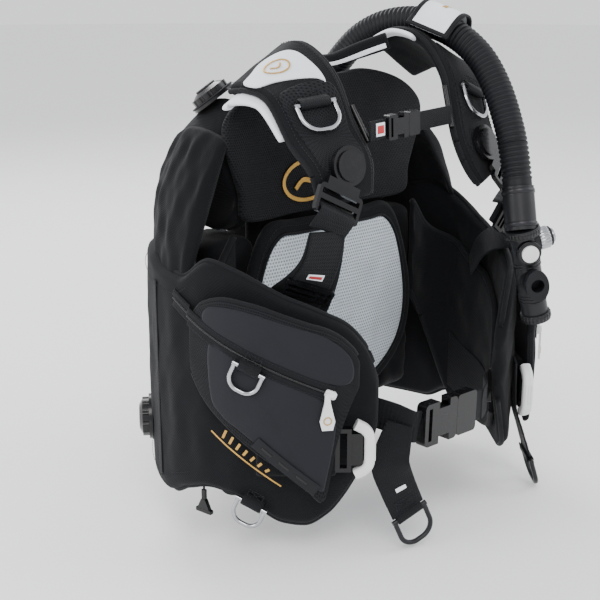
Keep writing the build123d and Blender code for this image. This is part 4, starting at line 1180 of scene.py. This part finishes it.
def pocket_inset(theta):
    """How far the pocket's outer face is inside the waist oval, all but straight between its corners."""
    return np.interp(theta, [-2, 5.6, 6.4, 12, 20, 28, 57], [0.4, -1.0, -5.5, -8.4, -11.3, -12.4, -12.4])


def zip_z(theta):
    """Height of the zip: a slanting line that falls towards the front."""
    return -61.0 - 1.78 * (theta - 49.0)


def lash_z(theta):
    """Height of the lash patch, which slants more steeply than the zip."""
    return -116.5 - (theta - 29) * 3.5


def stripe_z(theta):
    """Height of the foot of the printed bars."""
    return -108 - (theta - 15) * 2.71


class VEST_OT_pockets(bpy.types.Operator):
    """Cargo pockets: mesh side, smooth front, zip, lash patch and printed stripes"""
    bl_idname = "vest.pockets"
    bl_label = "Cargo pockets"

    def execute(self, context):
        sizes = context.scene.vest_sizes
        crease = sizes.crease / MM
        for label, side in SIDES:
            shell = wall_shell(f"{label}_pocket_shell", POCKET, side, finish("net"), nu=110, radius=3.5,
                               puff=0.4,
                               fold=crease * 0.3, seed=60 + side, faces=26)
            worn(shell, "vest", "panel", f"{label}_pocket", fill=0.3)
            surface = on_wall(side, pocket_inset)
            low = [(t, zip_z(t) - 9) for t in (15, 24, 34, 44)]
            low += [(48.5, -76), (50.5, -100), (48.2, -160), (46.5, -176), (40, -152), (33, -132), (25, -108),
                    (19, -92), (15, -70)]
            worn(patch(f"{label}_pocket_front", low, surface, 1.5, finish("smooth"), n=200, rings=26,
                       crown=1.4),
                 "vest", "panel")
            high = [(t, zip_z(t) + 9) for t in (13, 22, 32, 44)]
            high += [(52, -52), (55, -44), (54, -20), (48, 2), (40, 14), (28, 29), (20, 33), (14, 29)]
            worn(patch(f"{label}_pocket_top", high, surface, 1.3, finish("smooth"), n=200, rings=18,
                       crown=0.8),
                 "vest", "panel")
            theta = np.linspace(-2, 50, 260)
            z = zip_z(theta)
            for k, gap in enumerate((-6.2, 6.2)):
                p, out = wall_line(theta, z + gap, pocket_inset(theta) - 0.9, side)
                worn(tape(f"{label}_zip_tape_{k}", p, out, 8.5, 1.3, finish("binding")), "vest", "webbing")
                p, out = wall_line(theta, z + gap * 1.35, pocket_inset(theta) - 1.7, side)
                sewn(f"{label}_zip_stitches_{k}", p, out, pitch=sizes.stitch / MM)
            p, out = wall_line(theta, z, pocket_inset(theta) - 1.3, side)
            line, s = even(p, 0.55)
            teeth = 1.15 + 0.75 * np.abs(np.sin(np.pi * s / (sizes.zip_pitch / MM)))
            worn(tube(f"{label}_zip_teeth", line, teeth, finish("black_plastic"), around=8), "vest",
                 "webbing")
            theta = np.linspace(29, 45.5, 60)
            p, out = wall_line(theta, lash_z(theta), pocket_inset(theta) - 3.0, side)
            worn(tape(f"{label}_lash_patch", p, out, 14, 2.4, finish("rubber")), "vest", "rubber")
            for k in range(3):
                middle = 32.2 + 4.6 * k
                t = np.linspace(middle - 1.35, middle + 1.35, 14)
                p, out = wall_line(t, lash_z(t), pocket_inset(t) - 4.3, side)
                worn(tape(f"{label}_lash_slot_{k}", p, out, 3.0, 0.9, finish("black_plastic")), "vest",
                     "rubber")
            theta = np.linspace(15, 36, 90)
            p, out = wall_line(theta, stripe_z(theta) - 4, pocket_inset(theta) - 1.0, side)
            worn(tape(f"{label}_gold_stripe", p, out, 1.8, 0.7, finish("gold")), "vest", "panel")
            for k in range(7):
                t = np.linspace(19.0 + 2.1 * k, 20.2 + 2.1 * k, 8)
                rise = np.linspace(0, 13 - 1.2 * k, 8)
                p, out = wall_line(t, stripe_z(t) + 1 + rise, pocket_inset(t) - 1.0, side)
                worn(tape(f"{label}_gold_bar_{k}", p, out, 3.2, 0.7, finish("gold")), "vest", "panel")
            for part, column, last in (("top", 4, 56), ("hem", 3, 47)):
                bound(f"{label}_pocket_{part}_binding", edge_line(POCKET, column, 0.0, 7, last, side), 3.2)
        return {"FINISHED"}


# ---------------------------------------------------------------- shoulder straps
class VEST_OT_shoulder_straps(bpy.types.Operator):
    """Padded shoulder straps with pale panels, bindings and stitching"""
    bl_idname = "vest.shoulder_straps"
    bl_label = "Shoulder straps"

    def execute(self, context):
        crease = context.scene.vest_sizes.crease / MM
        for label, strap in (("right", RIGHT_STRAP), ("left", LEFT_STRAP)):
            last = len(strap["centres"]) - 1
            pad = strap_shell(f"{label}_strap_pad", strap, 15, finish("cloth"), nu=130, radius=6.5, faces=22,
                              puff=0.3, fold=crease * 0.5, seed=70 + last)
            worn(pad, "vest", "woven", f"{label}_shoulder_strap", fill=0.5)
            for k, share in enumerate((-0.99, 0.99)):
                at = np.linspace(0.05, last - 0.05, 160)
                centre, across, face, width = strap_frames(strap, at)
                p = centre + across * (width / 2 * share)[:, None] + face * 1.0
                bound(f"{label}_strap_binding_{k}", p, 3.3)
                p = centre + across * (width / 2 * share * 0.86)[:, None] + face * 8.1
                sewn(f"{label}_strap_stitches_{k}", p, face)
            net = [(2.1, -0.7), (last - 1.8, -0.7), (last - 0.9, -0.62), (last - 0.9, 0.62),
                   (last - 1.8, 0.7),
                   (2.1, 0.7)]
            worn(patch(f"{label}_strap_mesh", net, on_strap(strap, 7.6), 1.0, finish("net"), rings=20),
                 "vest",
                 "mesh")
        white = [(0.9, -0.5), (0.5, 0.1), (0.75, 0.6), (1.1, 0.95), (1.6, 0.95), (1.7, 0.5), (1.95, -0.4),
                 (2.05, -0.6), (1.55, -0.6)]
        worn(patch("right_strap_panel", white, on_strap(RIGHT_STRAP, 7.8), 1.6, finish("panel"),
                   rings=20), "vest",
             "panel")
        side_panel = strap_shell("right_strap_side_panel", RIGHT_STRAP, 7.0, finish("panel"),
                                 span=(0.25, 2.9),
                                 share=(0.9, 1.34), lift=-6.0, nu=70, cut=(0.0, -0.2))
        worn(side_panel, "vest", "panel")
        inner_panel = strap_shell("left_strap_inner_panel", LEFT_STRAP, 6.0, finish("panel"),
                                  span=(0.05, 1.6),
                                  share=(-1.2, -0.94), lift=-5.0, nu=50)
        worn(inner_panel, "vest", "panel")
        a = np.linspace(0, 2 * np.pi, 49)
        surface = on_strap(RIGHT_STRAP, 10.7)
        p, out = surface(1.25 + 0.27 * np.cos(a), 0.12 + 0.3 * np.sin(a))
        worn(tape("right_strap_emblem", p, out, 2.2, 0.7, finish("gold")), "vest", "panel")
        t = np.linspace(-1, 1, 20)
        p, out = surface(1.31 - 0.12 * t ** 2, 0.12 + 0.14 * t)
        worn(tape("right_strap_emblem_wave", p, out, 2.2, 0.7, finish("gold")), "vest", "panel")
        return {"FINISHED"}


# ---------------------------------------------------------------- webbing
def hoop(name, radius, thick, width, z, material):
    """Webbing band round the tank: a rounded section turned about the tank's axis."""
    w, c, s = section(8, 4)
    share = min(thick / 2 / (width / 2), 0.5)
    h = (c * (1 - share) + share * s) * width / 2
    r = radius + thick / 2 + w * thick / 2
    turn = np.linspace(0, 2 * np.pi, 145)
    grid = np.stack([r[None] * np.cos(turn)[:, None], r[None] * np.sin(turn)[:, None],
                     np.broadcast_to(z + h, (len(turn), len(h)))], -1)
    return grid_object(name, grid, material, wrap=True)


def ring_loop(name, origin, x_dir, y_dir, z_dir, width):
    """Webbing loop sewn round a ring's bar: in from the stitches, round the bar and back."""
    turn = np.linspace(-np.pi / 2, np.pi / 2, 16)
    y = np.concatenate([[9.0, 5.0], -4.0 * np.cos(turn), [4.0, 9.0]])
    z = np.concatenate([[-3.4, -3.7], 4.0 * np.sin(turn), [3.0, -1.0]])
    p = np.stack([np.zeros_like(y), y, z], -1)
    out = np.stack([np.zeros_like(y), -np.gradient(z), np.gradient(y)], -1)
    path, out = place(p, origin, x_dir, y_dir, z_dir), place(out, (0, 0, 0), x_dir, y_dir, z_dir)
    return tape(name, path, out, width, 1.5, finish("webbing"))


def box_stitch(name, origin, x_dir, y_dir, z_dir, width, depth, y0, lift):
    """Box stitching: round a rectangle and across both its diagonals."""
    w = width / 2
    x = np.array([-w, w, w, -w, -w, w, w, -w])
    y = y0 + np.array([0, 0, depth, depth, 0, depth, 0, depth])
    corner = np.stack([x, y, np.full(8, lift)], -1)
    p = place(corner, origin, x_dir, y_dir, z_dir)
    return stitches(name, p, np.tile(z_dir, (8, 1)), finish("thread"), pitch=3.4, length=2.6)


class VEST_OT_webbing(bpy.types.Operator):
    """Harness webbing: shoulder, chest, waist and tank straps, strap tails and ring loops"""
    bl_idname = "vest.webbing"
    bl_label = "Webbing"

    def execute(self, context):
        for label, strap in (("right", RIGHT_WEB), ("left", LEFT_WEB)):
            look = finish("cloth" if label == "right" else "webbing")
            web = strap_shell(f"{label}_web_backing", strap, 2.5, look, nu=110, faces=14)
            worn(web, "vest", "webbing", f"{label}_webbing")
        for label, strap, station, lean, web in (("right", RIGHT_STRAP, 4.0, -30, RIGHT_WEB),
                                                 ("left", LEFT_STRAP, 5.0, 20, LEFT_WEB)):
            origin, x, y, z = strap_plane(strap, station, 0.0)
            a = np.radians(lean)
            x, y = x * np.cos(a) + y * np.sin(a), y * np.cos(a) - x * np.sin(a)
            local = [(0, -45, 0.5), (0, -49.5, 5.5), (0, -54, 11.3), (0, -58, 11.8), (0, -63, 9.0)]
            p = np.concatenate([place(local, origin, x, y, z), [web["centres"][0]]])
            p = through(p, np.linspace(0, 5, 40))
            out = np.cross(x, np.gradient(p, axis=0))
            out = out * -np.sign(out[:, 1:2].mean())
            tab = tape(f"{label}_buckle_tab", p, out, 48, 2.2, finish("webbing"))
            worn(tab, f"{label}_swivel", "webbing")
        narrow = dict(RIGHT_WEB, widths=[48] * 6)
        worn(strap_shell("right_web_strap", narrow, 2.0, finish("webbing"), span=(0, 4.6), lift=2.3, nu=110,
                         faces=14), "vest", "webbing")
        centre, across, face, width = strap_frames(narrow, np.linspace(0.1, 4.5, 120))
        for k, share in enumerate((-0.9, 0.9)):
            sewn(f"right_web_stitches_{k}", centre + across * (width / 2 * share)[:, None] + face * 3.4, face)
        plate = strap_shell("right_web_label", dict(RIGHT_WEB, widths=[20] * 6), 0.8, finish("panel"),
                            span=(1.72, 1.98), lift=3.6, nu=24)
        worn(plate, "vest", "panel")
        bar = strap_shell("right_web_label_bar", dict(RIGHT_WEB, widths=[16] * 6), 0.5, finish("red"),
                          span=(1.79, 1.91), lift=4.1, nu=24)
        worn(bar, "vest", "panel")
        pieces = [("right_belt", RIGHT_BELT), ("left_belt", LEFT_BELT)]
        belts = [strap_shell(name, strap, 2.5, finish("webbing"), nu=110, faces=14) for name, strap in pieces]
        worn(joined("waist_belt", belts), "vest", "webbing", "waist_webbing")
        for label, strap in (("right", RIGHT_TAIL), ("left", LEFT_TAIL)):
            end = np.array(strap["centres"][-1], float)
            run = unit(end - np.array(strap["centres"][-2], float))
            side = np.array(strap["across"][-1])
            side = unit(side - run * side.dot(run))
            out = np.cross(side, -run)
            web = strap_shell(f"{label}_tail_strap", strap, 2.5, finish("webbing"), nu=110, faces=14)
            loop = ring_loop(f"{label}_tail_loop", end + run * 5, side, -run, out, 35)
            worn(joined(f"{label}_tail_webbing", [web, loop]), "vest", "webbing", f"{label}_tail")
            worn(box_stitch(f"{label}_tail_box", end, side, -run, out, 26, 16, 3, 1.8), "vest", "woven")
        mark = strap_shell("right_tail_label", dict(RIGHT_TAIL, widths=[30] * 5), 0.8, finish("panel"),
                           span=(3.1, 3.25), lift=1.7, nu=24, share=(-0.3, 0.6))
        worn(mark, "vest", "panel")
        a, b = np.array([-76, -285, 211.0]), np.array([84, -285, 219.0])
        run = unit(b - a)
        chest = []
        for k, (s0, s1) in enumerate(((-1.0, 25.0), (73.5, np.linalg.norm(b - a) - 20))):
            line = a + run * np.linspace(s0, s1, 40)[:, None]
            chest.append(tape(f"chest_{k}", line, facing(line), 22, 2.0, finish("webbing")))
        worn(joined("chest_strap", chest), "vest", "webbing", "sternum_webbing")
        for name, s0, s1, lift, wide, thick, look in (("chest_strap_label", 8, 22, 1.6, 15, 0.9, "panel"),
                                                      ("chest_strap_label_bar", 10, 20, 2.2, 9, 0.6, "red")):
            line = a + run * np.linspace(s0, s1, 12)[:, None] + BELLY * lift
            worn(tape(name, line, facing(line), wide, thick, finish(look)), "vest", "panel")
        worn(hoop("tank_band_webbing", TANK_R, 3.0, 50, 0, finish("webbing")), "vest", "webbing", "tank_band")
        worn(hoop("upper_tank_webbing", TANK_R, 2.5, 25, 118, finish("webbing")), "vest", "webbing",
             "upper_tank_strap")
        places = [("right_chest", strap_plane(RIGHT_STRAP, 2.45, 6.0), 38),
                  ("left_chest", strap_plane(LEFT_STRAP, 3.5, 6.0), 38),
                  ("right_pocket", wall_plane(27.5, -17, -33, -24, -1), 25),
                  ("right_hem", wall_plane(26, 7.2, -204, -24, -1), 25),
                  ("left_hem", wall_plane(26, 7.2, -204, -24, 1), 25)]
        loops = [ring_loop(f"{name}_loop", *plane, width) for name, plane, width in places]
        worn(joined("sewn_ring_loops", loops), "vest", "webbing", "ring_loops")
        for name, plane, width in places:
            worn(box_stitch(f"{name}_box", *plane, width * 0.74, 9, 8.5 if width > 30 else 7.5, -0.4), "vest",
                 "woven")
        return {"FINISHED"}


# ---------------------------------------------------------------- weight pouches
def pouch_plane(side):
    """Plane of a weight pouch: its length runs forward, its width up, its thickness outward."""
    out, turn = (15.5, np.radians(8.0)) if side > 0 else (0.0, 0.0)
    made_up = swell(40.0, LEFT_OUT) if side > 0 else 0.0
    origin, x, y, z = wall_plane(40.0, 8.5 - out + made_up, -134.0, 0.0, side)
    return origin, x * np.cos(turn) + z * np.sin(turn), y, z * np.cos(turn) - x * np.sin(turn)


class VEST_OT_weight_pouches(bpy.types.Operator):
    """Pull-out weight pouches: a cloth bag and ribs on the handle"""
    bl_idname = "vest.weight_pouches"
    bl_label = "Weight pouches"

    def execute(self, context):
        for label, side in SIDES:
            origin, x, y, z = pouch_plane(side)
            line = [tuple(origin + x * s) for s in (-44.9, -15, 15, 44.9)]
            bag = dict(centres=line, across=[tuple(y)] * 4, widths=[63.4] * 4)
            skin = strap_shell(f"{label}_pouch_bag", bag, 11.2, finish("cloth"), nu=60, radius=4.5, faces=18,
                               puff=0.1, fold=0.5, seed=80 + side)
            worn(skin, f"{label}_pouch", "woven", fill=0.6)
            front = 44 + 31.5 + 13.1
            for k, rise in enumerate((-3.6, 0.0, 3.6)):
                p = np.stack([np.full(16, front), np.linspace(-12, 12, 16), np.full(16, rise)], -1)
                rib = tape(f"{label}_handle_rib_{k}", place(p, origin, x, y, z), np.tile(x, (16, 1)), 1.7,
                           1.1,
                           finish("white_plastic"))
                worn(rib, f"{label}_pouch", "white_plastic")
        return {"FINISHED"}


# ---------------------------------------------------------------- inflator and valves
BODY_TOP = np.array([104.6, -364.1, 87.4])
BODY_RUN = unit(np.array([0.244, -0.073, -0.967]))


def body_axes(turn=0.0):
    """Across, side and down directions of the inflator body, turned about its length."""
    look = np.array([-0.62, -0.78, 0.05])
    look = unit(look - BODY_RUN * look.dot(BODY_RUN))
    other = np.cross(BODY_RUN, look)
    a = np.radians(turn)
    x = look * np.cos(a) + other * np.sin(a)
    return x, np.cross(BODY_RUN, x), BODY_RUN


def fluted(name, origin, axis, radius, depth, flutes, z0, z1, material, inner=None):
    """Sleeve round an axis: its radius follows a rectified cosine round the turn and eases in at both
    ends."""
    axis = unit(np.asarray(axis, float))
    ref = np.array([0, 0, 1.0]) if abs(axis[2]) < 0.9 else np.array([1.0, 0, 0])
    a = unit(np.cross(axis, ref))
    b = np.cross(axis, a)
    turn = np.linspace(0, 2 * np.pi, max(96, flutes * 10), endpoint=False)
    wave = np.abs(np.cos(turn * flutes / 2)) ** 0.6 if flutes else np.ones_like(turn)
    inner = radius - depth - 1.5 if inner is None else inner
    soft = min(0.8, (z1 - z0) / 3)
    heights = np.array([z0, z0, z0 + soft, z1 - soft, z1, z1])
    sizes = np.array([[inner, 0], [radius - soft, 0], [radius, 1], [radius, 1], [radius - soft, 0],
                      [inner, 0]])
    r = sizes[:, :1] + depth * (wave[None] - 1) * np.array([0, 1, 1, 1, 1, 0])[:, None]
    ring = np.cos(turn)[:, None] * a + np.sin(turn)[:, None] * b
    grid = np.asarray(origin, float) + ring[None] * r[..., None] + axis * heights[:, None, None]
    grid = np.concatenate([grid, grid[:1]])
    return grid_object(name, grid, material, wrap=True)


class VEST_OT_inflator(bpy.types.Operator):
    """Inflator details: hose clamps, elbow bend, ribbed connector, rings and grips on the housing, and the
    button collar
    """
    bl_idname = "vest.inflator"
    bl_label = "Inflator details"

    def execute(self, context):
        route = np.array(HOSE_ROUTE, float)
        run = unit(route[-1] - route[-2])
        for k, s in enumerate((3.0, 42.0)):
            clamp = fluted(f"hose_clamp_{k}", route[-1] + run * s, run, 19.9, 0.0, 0, 0, 6,
                           finish("steel_black"),
                           inner=18.6)
            worn(clamp, "vest", "steel_black")
        bend = through([(103.2, -45, 247), (101.5, -33, 232), (106, -38, 214), (120, -62, 203),
                        (134, -84, 200)],
                       np.linspace(0, 4, 60))
        elbow = tube("hose_elbow_bend", bend, np.linspace(20.5, 24.5, 60), finish("grey_plastic"), around=36)
        worn(elbow, "vest", "grey_plastic")
        x, _, down = body_axes()
        for k, d in enumerate((42.0, 46.0, 84.0, 88.0, 92.0)):
            ring = fluted(f"housing_ring_{k}", BODY_TOP + down * d, down, 16.9, 0.0, 0, 0, 1.8,
                          finish("grey_plastic"), inner=15.4)
            worn(ring, "vest", "grey_plastic")
        worn(fluted("housing_cap_grip", BODY_TOP + down * 111, down, 19.0, 0.9, 24, 0, 7.5,
                    finish("black_plastic"), inner=17.0), "vest", "black_plastic")
        worn(fluted("housing_head_grip", BODY_TOP + down * 0.5, down, 22.4, 0.8, 30, 0, 7.0,
                    finish("black_plastic"), inner=20.6), "vest", "black_plastic")
        inlet, way = BODY_TOP + down * 20, body_axes(-95)[0]
        worn(fluted("connector_collar", inlet, way, 13.6, 1.2, 18, 17, 31, finish("steel"), inner=11.6),
             "vest",
             "steel")
        worn(fluted("connector_lip", inlet, way, 8.6, 0.0, 0, 34.05, 38, finish("steel"), inner=4.4), "vest",
             "steel")
        worn(fluted("button_collar", BODY_TOP + down * 26, x, 14.6, 0.0, 0, 14, 21, finish("black_plastic"),
                    inner=13.2), "vest", "black_plastic")
        return {"FINISHED"}


class VEST_OT_valves(bpy.types.Operator):
    """Dump valve details: a rubber ring round each, the shoulder valve's knob and the toggle's lace"""
    bl_idname = "vest.valves"
    bl_label = "Dump valves"

    def execute(self, context):
        spot, way = np.array([-123, -76, 233.0]), unit(np.array([-0.42, 0.42, 0.80]))
        worn(fluted("shoulder_valve_ring", spot, way, 29.0, 0.0, 0, 3.6, 5.6, finish("rubber"), inner=25.0),
             "vest", "rubber")
        worn(fluted("shoulder_valve_knob", spot, way, 13.5, 0.9, 16, 16.8, 19.5, finish("grey_plastic"),
                    inner=3.0), "vest", "grey_plastic")
        spot = wall_plane(6.0, 14.0, -201.5, 0.0, -1)[0]
        lace = spot + np.array([0, 0, 1.0]) * np.linspace(-4, 24, 24)[:, None]
        worn(tube("dump_toggle_lace", lace, 1.3, finish("thread"), around=8), "dump_toggle", "webbing")
        way = wall_plane(-31.0, 0.0, -150.0, 0.0, -1)[3]
        low, high = [np.array(c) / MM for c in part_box("rear_dump_valve")]
        foot = (low + high) / 2 - way * 7.6
        worn(fluted("rear_valve_ring", foot, way, 28.8, 0.0, 0, 2.6, 4.6, finish("rubber"), inner=25.0),
             "vest",
             "rubber")
        return {"FINISHED"}


# ---------------------------------------------------------------- hard fittings
FITTINGS = {
    "black_plastic": ["backpack_plate", "swivel_hubs", "right_swivel_buckle", "left_swivel_buckle",
                      "sternum_socket", "sternum_plug", "sternum_rails", "waist_socket", "waist_plug",
                      "waist_slider", "webbing_keepers", "deflate_button", "shoulder_dump_valve",
                      "rear_dump_valve", "dump_toggle", "right_weight_pouch", "left_weight_pouch"],
    "steel": ["right_chest_ring", "left_chest_ring", "right_pocket_ring", "right_hem_ring", "left_hem_ring",
              "cam_buckle"],
    "steel_black": ["right_tail_ring", "left_tail_ring", "cam_lever"],
    "grey_plastic": ["hose_elbow", "inflator_body"],
    "rubber": ["inflator_mouthpiece", "carry_handle"],
    "white_plastic": ["right_pouch_handle", "left_pouch_handle", "right_zip_slider", "left_zip_slider",
                      "inflate_button"],
}


class VEST_OT_fittings(bpy.types.Operator):
    """Finishes on the moulded and metal fittings, and the marks on the zip tags"""
    bl_idname = "vest.fittings"
    bl_label = "Hard fittings"

    def execute(self, context):
        for name, nodes in FITTINGS.items():
            for node in nodes:
                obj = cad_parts[node]
                if not obj.material_slots:
                    obj.data.materials.append(finish(name))
                for slot in obj.material_slots:
                    slot.material = finish(name)
        for label, side in SIDES:
            origin, x, y, z = wall_plane(48.5, -18.6 - (0.9 if side > 0 else 0), -61.0, 0.0, side)
            a = np.linspace(0, 2 * np.pi, 41)
            p = np.stack([-2 + 4.2 * np.cos(a), -29 + 4.2 * np.sin(a), np.full_like(a, 1.4)], -1)
            ring = tape(f"{label}_tag_ring", place(p, origin, x, y, z), np.tile(z, (len(p), 1)), 1.3, 0.7,
                        finish("gold"))
            worn(ring, f"{label}_zip", "white_plastic")
        return {"FINISHED"}


# ---------------------------------------------------------------- stage
class VEST_OT_stage(bpy.types.Operator):
    """Plain pale floor, soft lights and a pale surround"""
    bl_idname = "vest.stage"
    bl_label = "Stage"

    def execute(self, context):
        level = CAD_BOX[0][2] - 0.004
        a = np.linspace(0, 2 * np.pi, 97)[:-1]
        r = np.array([0.001, 0.6, 2.0, 6.0, 14.0]) / MM
        grid = np.stack([r[:, None] * np.cos(a), r[:, None] * np.sin(a), np.full((5, 96), level / MM)], -1)
        m, tree, b = base_material("Pale floor", 0.75, specular=0.2)
        tone = noise(tree, surface_vector(tree, False), 1.5, 2.0)
        feed(tree, b["Base Color"], blend_colours(tree, tone, (0.90, 0.90, 0.90, 1), (0.93, 0.93, 0.93, 1)))
        floor = grid_object("floor", grid, m, wrap=True)
        for name, place_at, size, power, tint in (
                ("Key", (-1.6, -1.9, 2.1), 1.6, 46, (1.0, 0.98, 0.96)),
                ("Fill", (1.9, -1.6, 1.3), 1.8, 24, (0.96, 0.98, 1.0)),
                ("Back", (0.6, 1.9, 1.9), 1.4, 46, (1.0, 1.0, 1.0)),
                ("Side", (-2.2, 0.5, 1.0), 1.2, 24, (1.0, 1.0, 1.0))):
            data = bpy.data.lights.new(name, "AREA")
            data.shape, data.size, data.energy, data.color = "DISK", size, power, tint
            lamp = bpy.data.objects.new(name, data)
            context.scene.collection.objects.link(lamp)
            lamp.location = place_at
            lamp.rotation_euler = (Vector((0, -0.2, 0.05)) - lamp.location).to_track_quat("-Z",
                                                                                          "Y").to_euler()
        world = bpy.data.worlds.new("Studio")
        context.scene.world = world
        world.use_nodes = True
        world.node_tree.nodes["Background"].inputs["Color"].default_value = (0.97, 0.98, 1.0, 1)
        world.node_tree.nodes["Background"].inputs["Strength"].default_value = 1.25
        return {"FINISHED"}


ORDER = (VEST_OT_view, VEST_OT_hose, VEST_OT_bladder, VEST_OT_back, VEST_OT_lobes, VEST_OT_linings,
         VEST_OT_pockets, VEST_OT_shoulder_straps, VEST_OT_webbing, VEST_OT_weight_pouches,
         VEST_OT_inflator, VEST_OT_valves, VEST_OT_fittings, VEST_OT_stage)


class VEST_PT_panel(bpy.types.Panel):
    """Buttons for every group of pieces, with the vest's sizes and colours"""
    bl_idname = "VEST_PT_panel"
    bl_label = "Buoyancy vest"
    bl_space_type = "VIEW_3D"
    bl_region_type = "UI"
    bl_category = "Vest"

    def draw(self, context):
        for op in ORDER:
            self.layout.operator(op.bl_idname)
        for group in (context.scene.vest_sizes, context.scene.vest_colours):
            for name in group.__annotations__:
                self.layout.prop(group, name)


CLASSES = (VestSizes, VestColours, *ORDER, VEST_PT_panel)


def register():
    """Adds the classes, and the sizes and colours to the scene."""
    for cls in CLASSES:
        bpy.utils.register_class(cls)
    bpy.types.Scene.vest_sizes = bpy.props.PointerProperty(type=VestSizes)
    bpy.types.Scene.vest_colours = bpy.props.PointerProperty(type=VestColours)


def unregister():
    """Takes away what register added."""
    del bpy.types.Scene.vest_sizes, bpy.types.Scene.vest_colours
    for cls in reversed(CLASSES):
        bpy.utils.unregister_class(cls)


def main():
    """Builds every group of pieces in order."""
    register()
    for op in ORDER:
        getattr(bpy.ops.vest, op.bl_idname.split(".")[1])()


if __name__ == "__main__":
    main()
